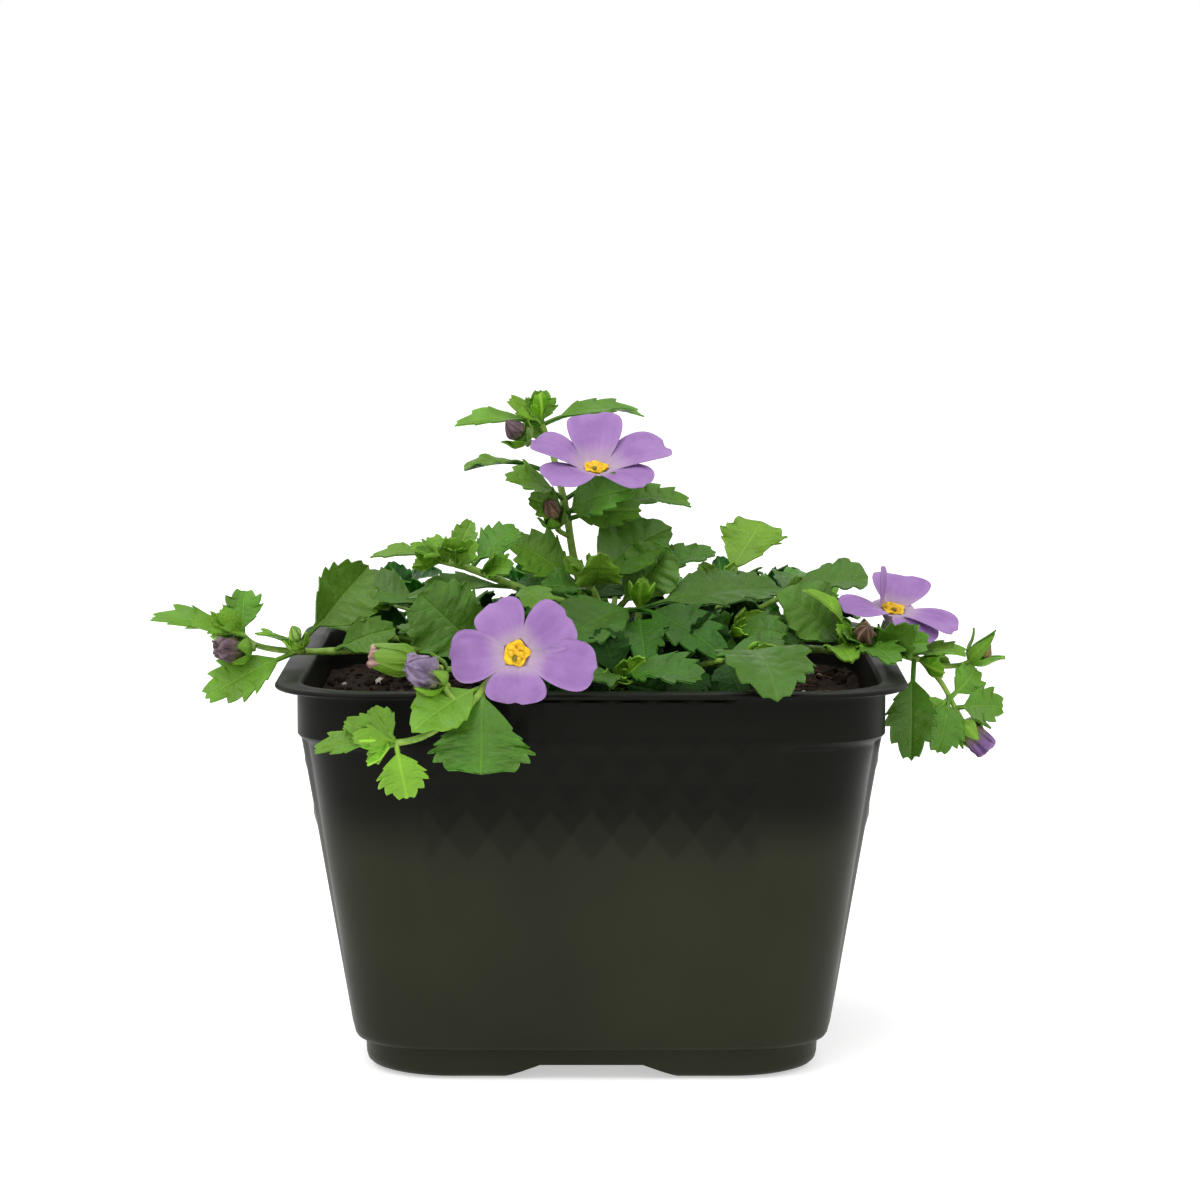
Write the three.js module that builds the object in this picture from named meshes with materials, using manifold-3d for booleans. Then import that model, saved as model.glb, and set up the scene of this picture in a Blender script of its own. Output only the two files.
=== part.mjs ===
// Potted bacopa: a square nursery pot, its soil, and trailing leafy stems with
// toothed leaves, three lilac blooms and a few buds.
// Units are millimetres. The origin is the middle of the pot's foot, on the
// surface that it stands on, with +X to the right, +Y to the back and +Z up.

import * as THREE from 'three';
import Module from 'manifold-3d';

const wasm = await Module();
wasm.setup();

// Driving sizes of the pot
const LIP_WIDTH = 110;
const POT_HEIGHT = 70;
const WALL = 1.1;
const LIP_REACH = 3.8;
const LIP_THICKNESS = 1;
const COLLAR_FOOT = 60.2;
const BODY_TOP_HALF = 49.5;
const BODY_FOOT_HALF = 41.9;
const FOOT_HALF = 40.1;
const FOOT_HEIGHT = 5.5;
const LIP_HALF = LIP_WIDTH / 2;
const COLLAR_HALF = LIP_HALF - LIP_REACH;
const CORNER_RADIUS = 14;

// The sides of the body bow out until they are flush with the collar
const BOW_TOP = COLLAR_HALF - BODY_TOP_HALF;
const BOW_FOOT = 0.5;

// Arches in the foot, joined by a raised cross under the floor
const ARCH_HEIGHT = 2.5;
const ARCH_FOOT_WIDTH = 31;
const ARCH_TOP_WIDTH = 18;
const BOSS_FOOT_WIDTH = 14;
const BOSS_TOP_WIDTH = 19;
const DRAIN_RADIUS = 3.5;
const DRAIN_PLACE = 25;

// Diamond lattice on the upper face of each side
const LATTICE_PITCH = 7.1;
const LATTICE_ROW = 4.7;
const LATTICE_COLUMNS = 16;
const LATTICE_ROWS = 6;
const LATTICE_TOP = 68.1;
const LATTICE_HIGH = 0.55;
const LATTICE_LOW = 0.14;
const LATTICE_ROOT = 0.5;

// Soil and the holes that the stems stand in
const SOIL_TOP = 62;
const SOIL_GAP = 0.3;
const SOIL_ROUGHNESS = 0.9;
const STEM_FOOT_Z = 55.5;
const HOLE_FLOOR_Z = 55;
const FOOT_RISE = 2.4;
const HOLE_GAP = 0.5;
const HOLE_SIDES = 5;
const SOIL_CELLS = 5;

// Thickness of what grows
const BLADE_HALF = 0.31;
const PETAL_HALF = 0.3;
const STALK_HALF = 0.42;
const STEM_SIDES = 4;
const TWIG_RADIUS = 0.55;
const ROOT_OFFSET = 0.3;
const ROOT_LAST = 0.975;
const STEM_RADIUS = [0.9, 0.55];
const DEFAULT_SEED = 5;

// Leaf pairs of the stems that are grown by rule
const RULED_PAIR = { length: 14, width: 10, teeth: 1 };
const TIP_PAIR = { length: 8, width: 5.5, spread: 48, turn: 70, teeth: 1 };
const TIP_SETBACK = 0.1;
const TIP_LIFT = 0.12;

// Colours of the sub-parts
const POT_FINISH = { color: 0x2b2d24, roughness: 0.32, metalness: 0 };
const SOIL_FINISH = { color: 0x3a2a1e, roughness: 0.95, metalness: 0 };
const GREEN_FINISH = { color: 0x4f9436, roughness: 0.55, metalness: 0 };
const PETAL_FINISH = { color: 0xb288cd, roughness: 0.6, metalness: 0 };
const EYE_FINISH = { color: 0xe2b622, roughness: 0.6, metalness: 0 };
const BUD_FINISH = { color: 0x8d7396, roughness: 0.65, metalness: 0 };
const WITHERED_FINISH = { color: 0x7b5c4a, roughness: 0.75, metalness: 0 };

const UP = new THREE.Vector3(0, 0, 1);
const vector = (place) => new THREE.Vector3(...place);

// Repeatable random draws from 0 to 1
function makeRandom(seed) {
  let state = seed;
  return () => {
    state = (state * 48271) % 2147483647;
    return state / 2147483647;
  };
}

// Turns points and triangles into a solid, facing outwards
function solidFrom(points, triangles) {
  const at = (index) => points[index];
  let volume = 0;
  for (const [a, b, c] of triangles) {
    volume += at(a).dot(new THREE.Vector3().crossVectors(at(b), at(c)));
  }
  const order = volume < 0 ? ([a, b, c]) => [a, c, b] : ([a, b, c]) => [a, b, c];
  const vertProperties = new Float32Array(points.flatMap((p) => [p.x, p.y, p.z]));
  const triVerts = new Uint32Array(triangles.flatMap(order));
  return new wasm.Manifold(new wasm.Mesh({ numProp: 3, vertProperties, triVerts }));
}

// A closed solid through a list of equally long rings
function loft(rings) {
  const count = rings[0].length;
  const points = rings.flat();
  const triangles = [];
  for (let row = 0; row < rings.length - 1; row += 1) {
    for (let step = 0; step < count; step += 1) {
      const next = (step + 1) % count;
      const a = row * count + step;
      const b = row * count + next;
      triangles.push([a, b, b + count], [a, b + count, a + count]);
    }
  }
  const last = (rings.length - 1) * count;
  for (let step = 1; step < count - 1; step += 1) {
    triangles.push([0, step + 1, step], [last, last + step, last + step + 1]);
  }
  return solidFrom(points, triangles);
}

// A solid from a closed three.js geometry, with its corners welded
function solidOfGeometry(geometry) {
  const flat = geometry.index ? geometry.toNonIndexed() : geometry;
  const place = flat.attributes.position;
  const points = [];
  const seen = new Map();
  const corners = [];
  for (let index = 0; index < place.count; index += 1) {
    const point = new THREE.Vector3().fromBufferAttribute(place, index);
    const key = [point.x, point.y, point.z].map((value) => Math.round(value * 1e4)).join();
    if (!seen.has(key)) {
      seen.set(key, points.length);
      points.push(point);
    }
    corners.push(seen.get(key));
  }
  const triangles = [];
  for (let index = 0; index < corners.length; index += 3) {
    const triangle = corners.slice(index, index + 3);
    if (new Set(triangle).size === 3) {
      triangles.push(triangle);
    }
  }
  return solidFrom(points, triangles);
}

function meshOf(name, solid, finish) {
  const { vertProperties, triVerts, numProp } = solid.getMesh();
  const geometry = new THREE.BufferGeometry();
  const place = new THREE.InterleavedBuffer(vertProperties, numProp);
  geometry.setAttribute('position', new THREE.InterleavedBufferAttribute(place, 3, 0));
  geometry.setIndex(new THREE.BufferAttribute(triVerts, 1));
  geometry.computeVertexNormals();
  const mesh = new THREE.Mesh(geometry, new THREE.MeshStandardMaterial(finish));
  mesh.name = name;
  return mesh;
}

// Fuses what has grown together, and drops any scrap that came off
function join(solids) {
  const whole = solids.reduce((grown, solid) => grown.add(solid));
  return whole.decompose().reduce((best, piece) => (piece.volume() > best.volume() ? piece : best));
}

// Pot

const CORNER_STEPS = 3;
const FLUSH_PART = 0.86;

// One level outline of the pot: a square with round corners, whose sides stand
// out by a bow over most of their width
function squareRing(half, bow, z, corner = CORNER_RADIUS) {
  const flat = half - corner;
  const points = [];
  for (let side = 0; side < 4; side += 1) {
    const turn = side * Math.PI / 2;
    const level = [
      [half, -flat],
      [half + bow, -flat * FLUSH_PART],
      [half + bow, flat * FLUSH_PART],
    ];
    for (let step = 0; step < CORNER_STEPS; step += 1) {
      const angle = Math.PI / 2 * step / CORNER_STEPS;
      level.push([flat + corner * Math.cos(angle), flat + corner * Math.sin(angle)]);
    }
    points.push(...level.map(([x, y]) => new THREE.Vector3(x, y, z).applyAxisAngle(UP, turn)));
  }
  return points;
}

// Half-width and bow of the outer body between the foot and the collar
function bodyAt(z) {
  const part = (z - FOOT_HEIGHT) / (COLLAR_FOOT - FOOT_HEIGHT);
  return {
    half: BODY_FOOT_HALF + (BODY_TOP_HALF - BODY_FOOT_HALF) * part,
    bow: BOW_FOOT + (BOW_TOP - BOW_FOOT) * part,
  };
}

function outerRings() {
  const body = [FOOT_HEIGHT + 1.5, COLLAR_FOOT - 1].map((z) => {
    const { half, bow } = bodyAt(z);
    return squareRing(half, bow, z);
  });
  return [
    squareRing(FOOT_HALF - 2.6, 0, 0),
    squareRing(FOOT_HALF - 0.9, 0, 0.7),
    squareRing(FOOT_HALF, 0.2, 2),
    squareRing(BODY_FOOT_HALF - 0.5, BOW_FOOT, FOOT_HEIGHT + 0.1),
    ...body,
    squareRing(COLLAR_HALF - 0.6, 0.5, COLLAR_FOOT - 0.4),
    squareRing(COLLAR_HALF, 0, COLLAR_FOOT + 0.8),
    squareRing(COLLAR_HALF, 0, POT_HEIGHT - LIP_THICKNESS - 0.8),
    squareRing(COLLAR_HALF + 0.7, 0, POT_HEIGHT - LIP_THICKNESS, CORNER_RADIUS + 0.7),
    squareRing(LIP_HALF - 0.3, 0, POT_HEIGHT - LIP_THICKNESS, CORNER_RADIUS + 3),
    squareRing(LIP_HALF, 0, POT_HEIGHT - LIP_THICKNESS / 2, CORNER_RADIUS + 3),
    squareRing(LIP_HALF - 0.4, 0, POT_HEIGHT, CORNER_RADIUS + 3),
  ];
}

// The hollow, one wall inside the outer faces, or less by a gap for the soil
function hollowRings(gap, top) {
  const inner = WALL + gap;
  const rings = [
    squareRing(FOOT_HALF - inner - 1.4, 0, inner),
    squareRing(FOOT_HALF - inner, 0.2, inner + 1.4),
    squareRing(FOOT_HALF - inner + 0.2, 0.3, FOOT_HEIGHT),
  ];
  for (const z of [FOOT_HEIGHT + 2, COLLAR_FOOT]) {
    const { half, bow } = bodyAt(z);
    rings.push(squareRing(half - inner, bow, z));
  }
  rings.push(squareRing(COLLAR_HALF - inner, 0, COLLAR_FOOT + 1.4));
  rings.push(squareRing(COLLAR_HALF - inner, 0, top));
  return rings;
}

// A bar with sloping sides along X or Y, for the arches and the cross
function archBar(grow, turn) {
  const foot = ARCH_FOOT_WIDTH / 2 + grow;
  const top = ARCH_TOP_WIDTH / 2 + grow;
  const outline = new THREE.Shape();
  outline.moveTo(-foot, -1);
  outline.lineTo(foot, -1);
  outline.lineTo(foot, 0);
  outline.lineTo(top, ARCH_HEIGHT + grow);
  outline.lineTo(-top, ARCH_HEIGHT + grow);
  outline.lineTo(-foot, 0);
  const bar = new THREE.ExtrudeGeometry(outline, { depth: LIP_WIDTH, bevelEnabled: false });
  bar.translate(0, 0, -LIP_WIDTH / 2);
  bar.rotateX(Math.PI / 2);
  bar.rotateZ(turn);
  return solidOfGeometry(bar);
}

// The low foot in the middle of the cross
function boss(grow) {
  const foot = BOSS_FOOT_WIDTH / 2 - grow;
  const top = BOSS_TOP_WIDTH / 2 - grow;
  const square = (half, z) => [
    new THREE.Vector3(half, -half, z),
    new THREE.Vector3(half, half, z),
    new THREE.Vector3(-half, half, z),
    new THREE.Vector3(-half, -half, z),
  ];
  return loft([square(foot, -2), square(foot, 0), square(top, ARCH_HEIGHT + 3)]);
}

function underCross(grow) {
  return archBar(grow, 0).add(archBar(grow, Math.PI / 2)).subtract(boss(grow));
}

// Relief of diamonds: a grid whose points stand high and low by turns, with
// its border sunk into the wall
function latticePatch(turn) {
  const columns = LATTICE_COLUMNS;
  const rows = LATTICE_ROWS;
  const front = [];
  const back = [];
  for (let row = 0; row <= rows; row += 1) {
    for (let column = 0; column <= columns; column += 1) {
      const across = (column - columns / 2) * LATTICE_PITCH / 2;
      const z = LATTICE_TOP - (rows - row) * LATTICE_ROW;
      const wall = faceOut(z);
      const border = row === 0 || row === rows || column === 0 || column === columns;
      const high = (row + column) % 2 === 0 ? LATTICE_HIGH : LATTICE_LOW;
      const out = wall + (border ? -LATTICE_ROOT / 2 : high);
      front.push(new THREE.Vector3(out, across, z).applyAxisAngle(UP, turn));
      back.push(new THREE.Vector3(wall - LATTICE_ROOT, across, z).applyAxisAngle(UP, turn));
    }
  }
  const width = columns + 1;
  const under = front.length;
  const triangles = [];
  const rim = [];
  for (let row = 0; row < rows; row += 1) {
    for (let column = 0; column < columns; column += 1) {
      const a = row * width + column;
      const corners = [a, a + 1, a + width + 1, a + width];
      const split = (row + column) % 2 === 0 ? [1, 2, 3, 0] : [0, 1, 2, 3];
      const [p, q, r, s] = split.map((index) => corners[index]);
      triangles.push([p, q, r], [p, r, s]);
      triangles.push([p + under, r + under, q + under], [p + under, s + under, r + under]);
    }
  }
  for (let column = 0; column < columns; column += 1) {
    rim.push([column, column + 1]);
    rim.push([rows * width + column + 1, rows * width + column]);
  }
  for (let row = 0; row < rows; row += 1) {
    rim.push([(row + 1) * width, row * width]);
    rim.push([row * width + columns, (row + 1) * width + columns]);
  }
  for (const [a, b] of rim) {
    triangles.push([b, a, a + under], [b, a + under, b + under]);
  }
  return solidFrom([...front, ...back], triangles);
}

// How far out the flush middle of a side's face is at a height
function faceOut(z) {
  const { half, bow } = bodyAt(Math.min(z, COLLAR_FOOT));
  return half + bow;
}

function drainHole(x, y) {
  const hole = new THREE.CylinderGeometry(DRAIN_RADIUS, DRAIN_RADIUS, 12, 8);
  hole.rotateX(Math.PI / 2);
  hole.translate(x, y, 0);
  return solidOfGeometry(hole);
}

function makePot() {
  let pot = loft(outerRings());
  for (let side = 0; side < 4; side += 1) {
    pot = pot.add(latticePatch(side * Math.PI / 2));
  }
  const hollow = loft(hollowRings(0, POT_HEIGHT + 1)).subtract(underCross(WALL));
  pot = pot.subtract(hollow).subtract(underCross(0));
  for (const x of [-DRAIN_PLACE, DRAIN_PLACE]) {
    for (const y of [-DRAIN_PLACE, DRAIN_PLACE]) {
      pot = pot.subtract(drainHole(x, y));
    }
  }
  return pot;
}

// Blades: leaves, petals and sepals

// A closed blade from rows of left edge, rib and right edge. The first row is
// the bare end of the stalk and has no rib, the second has one, and after that
// a row without a rib is a notch or a tooth. The last row is a point.
function bladeSolid(rows) {
  const points = [];
  const add = (point, lift) => {
    points.push(point.clone().add(lift), point.clone().sub(lift));
    return points.length - 2;
  };
  const marks = rows.map(({ left, rib, right, lift }) => {
    const ribMark = rib ? add(rib, lift) : null;
    return {
      rib: ribMark,
      left: left ? add(left, lift) : ribMark,
      right: right ? add(right, lift) : ribMark,
    };
  });
  const triangles = [];
  const face = (a, b, c) => {
    triangles.push([a, b, c], [a + 1, c + 1, b + 1]);
  };
  const rim = (a, b) => {
    triangles.push([a, b, b + 1], [a, b + 1, a + 1]);
  };
  const [end, start] = marks;
  face(end.left, start.rib, start.left);
  face(end.left, end.right, start.rib);
  face(end.right, start.right, start.rib);
  rim(end.right, end.left);
  for (let row = 0; row < marks.length - 1; row += 1) {
    rim(marks[row].left, marks[row + 1].left);
    rim(marks[row + 1].right, marks[row].right);
  }
  let { rib } = start;
  for (let row = 1; row < marks.length - 1; row += 1) {
    const { left, right } = marks[row];
    const next = marks[row + 1];
    face(rib, next.left, left);
    face(rib, right, next.right);
    if (next.rib !== null && next.rib !== next.left) {
      face(rib, next.rib, next.left);
      face(rib, next.right, next.rib);
      rib = next.rib;
    }
  }
  return solidFrom(points, triangles);
}

const TEETH_START = 0.2;
const TEETH_END = 0.98;
const TOOTH_OUT = 1.12;
const NOTCH_IN = 0.84;
const NOTCH_STEP = 0.22;
const WAVES = 1.3;

// Half-width of a leaf along its blade, with the widest place given
function leafOutline(along, widest) {
  if (along < widest) {
    return Math.sin(Math.PI / 2 * along / widest) ** 1.15;
  }
  return Math.cos(Math.PI / 2 * (along - widest) / (1 - widest)) ** 0.8;
}

// Teeth point forward: each is followed by a short step in to a notch
function leafMargin(teeth, widest) {
  const rows = [{ along: 0, half: 0, rib: true }];
  const pitch = (TEETH_END - TEETH_START) / teeth;
  for (let tooth = 0; tooth < teeth; tooth += 1) {
    const point = TEETH_START + pitch * (tooth + 0.5);
    const notch = point + pitch * NOTCH_STEP;
    const middle = tooth === Math.floor((teeth - 1) / 2);
    rows.push({ along: point, half: leafOutline(point, widest) * TOOTH_OUT, rib: middle });
    rows.push({ along: notch, half: leafOutline(notch, widest) * NOTCH_IN, rib: false });
  }
  rows.push({ along: 1, half: 0, rib: true });
  return rows;
}

const LEAF_DEFAULTS = {
  face: [0, 0, 1],
  bend: 0.1,
  fold: 14,
  wave: 0.12,
  stalk: 0.16,
  teeth: 2,
  widest: 0.5,
};

function leafSolid(base, leaf) {
  const { tip, width, face, bend, fold, wave, stalk, teeth, widest } = leaf;
  const reach = vector(tip).sub(base);
  const length = reach.length();
  const axis = reach.clone().normalize();
  const up = vector(face).addScaledVector(axis, -vector(face).dot(axis)).normalize();
  const side = new THREE.Vector3().crossVectors(axis, up);
  const foldAngle = THREE.MathUtils.degToRad(fold);
  const rowAt = (place, half, thick, rib, wag) => {
    const middle = base.clone().addScaledVector(reach, place);
    middle.addScaledVector(up, length * bend * 4 * place * (1 - place));
    const normal = up.clone().addScaledVector(axis, -bend * 4 * (1 - 2 * place)).normalize();
    const edge = (sign, waving) => middle.clone()
      .addScaledVector(side, sign * half * Math.cos(foldAngle))
      .addScaledVector(normal, half * (Math.sin(foldAngle) + waving));
    return {
      rib: rib ? middle : null,
      left: half > 0 ? edge(-1, wag) : null,
      right: half > 0 ? edge(1, -wag) : null,
      lift: normal.clone().multiplyScalar(thick),
    };
  };
  const thick = BLADE_HALF / Math.cos(foldAngle);
  const rows = [rowAt(0, STALK_HALF, thick, false, 0)];
  for (const { along, half, rib } of leafMargin(teeth, widest)) {
    const place = stalk + (1 - stalk) * along;
    const wag = wave * Math.sin(2 * Math.PI * WAVES * along);
    const wide = along === 0 ? STALK_HALF : half * width / 2;
    rows.push(rowAt(place, wide, thick, rib, wag));
  }
  return bladeSolid(rows);
}

// Stems and twigs

// A tapering round stem along a smooth route
function stemSolid(curve, footRadius, tipRadius, steps) {
  const rings = [];
  let side = new THREE.Vector3(1, 0, 0);
  for (let step = 0; step <= steps; step += 1) {
    const along = step / steps;
    const middle = curve.getPoint(along);
    const tangent = curve.getTangent(along);
    side = side.clone().addScaledVector(tangent, -side.dot(tangent)).normalize();
    const other = new THREE.Vector3().crossVectors(tangent, side);
    const radius = footRadius + (tipRadius - footRadius) * along;
    const ring = [];
    for (let corner = 0; corner < STEM_SIDES; corner += 1) {
      const angle = 2 * Math.PI * corner / STEM_SIDES;
      ring.push(middle.clone()
        .addScaledVector(side, radius * Math.cos(angle))
        .addScaledVector(other, radius * Math.sin(angle)));
    }
    rings.push(ring);
  }
  return loft(rings);
}

function smoothCurve(route) {
  return new THREE.CatmullRomCurve3(route.map(vector), false, 'catmullrom', 0.5);
}

// A leaf on each side of a stem, turned about it, with small seeded changes
function leafPair(curve, stations, pair, random) {
  const { at, length, width, teeth, spread = 62, turn = 0 } = pair;
  const along = at / (stations - 1);
  const base = curve.getPoint(along);
  const tangent = curve.getTangent(along);
  const level = new THREE.Vector3().crossVectors(tangent, UP).normalize();
  return [1, -1].map((sign) => {
    const angle = THREE.MathUtils.degToRad(turn + 24 * (random() - 0.5));
    const open = THREE.MathUtils.degToRad(spread + 20 * (random() - 0.5));
    const size = length * (0.9 + 0.2 * random());
    const out = level.clone().multiplyScalar(sign).applyAxisAngle(tangent, angle);
    const reach = tangent.clone().multiplyScalar(Math.cos(open)).addScaledVector(out, Math.sin(open));
    const tip = base.clone().addScaledVector(reach, size);
    tip.z += size * TIP_LIFT;
    const face = UP.clone().addScaledVector(out, -0.4).addScaledVector(tangent, 0.3);
    return {
      at,
      tip: tip.toArray(),
      width: width * (0.9 + 0.2 * random()),
      face: face.toArray(),
      bend: 0.08 + 0.08 * random(),
      fold: 8 + 14 * random(),
      teeth,
    };
  });
}

const SEPALS = 4;
const SEPAL_THICKNESS = 0.6;
const SEPAL_NOTCH = 0.45;
const BELLY_SHARE = 0.82;
const BELLY_RISE = 0.12;

// A cup of pointed sepals round the end of a twig, as one solid
function calyxSolid(end, look, mouth, size) {
  const sides = 2 * SEPALS;
  const wide = mouth + SEPAL_THICKNESS;
  const rise = BELLY_RISE * size;
  const foot = starRing(sides, 0.5, -0.3, -0.3);
  const belly = starRing(sides, wide * BELLY_SHARE, rise, rise);
  const outer = starRing(sides, wide, SEPAL_NOTCH * size, size);
  const inner = starRing(sides, mouth, SEPAL_NOTCH * size, size - 0.3);
  const floor = starRing(sides, mouth * 0.8, 0.3 + SEPAL_THICKNESS, 0.3 + SEPAL_THICKNESS);
  return moved(loft([foot, belly, outer, inner, floor]), end, look, 0);
}

// A ring whose corners lie low and high by turns
function starRing(sides, radius, low, high) {
  const ring = [];
  for (let corner = 0; corner < sides; corner += 1) {
    const angle = 2 * Math.PI * corner / sides;
    const z = corner % 2 === 0 ? high : low;
    ring.push(new THREE.Vector3(radius * Math.cos(angle), radius * Math.sin(angle), z));
  }
  return ring;
}

// Blooms and buds

const TUBE_LENGTH = 6;
const TUBE_RADIUS = 1;
const TUBE_SIDES = 5;
const THROAT_RADIUS = 3;
const PETAL_START = 2.2;
const PETAL_ROOT = 0.4;
const PETAL_ARCH = 0.08;
const PETAL_ROLL = 0.1;
const PETAL_ROWS = [0, 0.32, 0.66, 0.91, 1];
const MOUTH_GAP = 0.45;
const BUD_SEAT = 0.65;
const BLOOM_CALYX = 4;
const CALYX_SHARE = 0.72;
const EYE_RADIUS = 2;
const EYE_SIDES = 7;
const BUD_SIDES = 6;

function petalOutline(along) {
  const widest = 0.62;
  if (along < widest) {
    return PETAL_ROOT + (1 - PETAL_ROOT) * Math.sin(Math.PI / 2 * along / widest);
  }
  return Math.sqrt(1 - ((along - widest) / (1 - widest)) ** 2);
}

// A rounded petal in the bloom's own frame, given by its angle round the eye
function petalSolid({ angle, length, width, tilt }) {
  const turn = THREE.MathUtils.degToRad(angle);
  const out = new THREE.Vector3(Math.cos(turn), Math.sin(turn), 0);
  const side = new THREE.Vector3(-Math.sin(turn), Math.cos(turn), 0);
  const rise = Math.tan(THREE.MathUtils.degToRad(tilt));
  const reach = length - PETAL_START;
  const rows = PETAL_ROWS.map((along) => {
    const height = reach * (rise * along + PETAL_ARCH * 4 * along * (1 - along));
    const middle = out.clone().multiplyScalar(PETAL_START + reach * along).addScaledVector(UP, height);
    const slope = rise + PETAL_ARCH * 4 * (1 - 2 * along);
    const normal = UP.clone().addScaledVector(out, -slope).normalize();
    const half = petalOutline(along) * width / 2;
    const edge = (sign) => middle.clone()
      .addScaledVector(side, sign * half)
      .addScaledVector(normal, PETAL_ROLL * half);
    return {
      rib: along > 0 ? middle : null,
      left: along < 1 ? edge(1) : null,
      right: along < 1 ? edge(-1) : null,
      lift: normal.clone().multiplyScalar(PETAL_HALF),
    };
  });
  return bladeSolid(rows);
}

// The tube behind the petals, with a shallow seat in its mouth for the eye
function tubeSolid() {
  const profile = [
    [0, -TUBE_LENGTH],
    [TUBE_RADIUS, -TUBE_LENGTH],
    [TUBE_RADIUS, -2],
    [THROAT_RADIUS, 0.35],
    [EYE_RADIUS + 0.3, 0.1],
    [0, -0.8],
  ];
  return solidOfGeometry(turned(profile, TUBE_SIDES));
}

function turned(profile, sides) {
  const lathe = new THREE.LatheGeometry(profile.map((place) => new THREE.Vector2(...place)), sides);
  lathe.rotateX(Math.PI / 2);
  return lathe;
}

function eyeGeometry() {
  const profile = [
    [0, -0.4],
    [EYE_RADIUS, 0.4],
    [EYE_RADIUS * 0.7, 0.9],
    [0, 0.7],
  ];
  return turned(profile, EYE_SIDES);
}

function moved(solid, place, look, spin) {
  const turn = new THREE.Quaternion().setFromUnitVectors(UP, look);
  const rolled = new THREE.Quaternion().setFromAxisAngle(UP, THREE.MathUtils.degToRad(spin));
  const matrix = new THREE.Matrix4().compose(place, turn.multiply(rolled), new THREE.Vector3(1, 1, 1));
  return solid.transform(matrix.elements);
}

// A closed bud: a drop with the five petals showing as soft lobes
function budSolid(end, look, radius, length) {
  const rings = [];
  for (const [along, wide] of [[0, 0.4], [0.3, 0.94], [0.7, 0.92], [1, 0.3]]) {
    const ring = [];
    for (let corner = 0; corner < BUD_SIDES; corner += 1) {
      const angle = 2 * Math.PI * corner / BUD_SIDES;
      const lobe = corner % 2 === 0 ? 1 : 1 - 0.16 * along;
      const out = radius * wide * lobe;
      ring.push(new THREE.Vector3(out * Math.cos(angle), out * Math.sin(angle), length * along));
    }
    rings.push(ring);
  }
  return moved(loft(rings), end.clone().addScaledVector(look, BUD_SEAT + SEPAL_THICKNESS), look, 0);
}

// The plant, stem by stem

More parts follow.
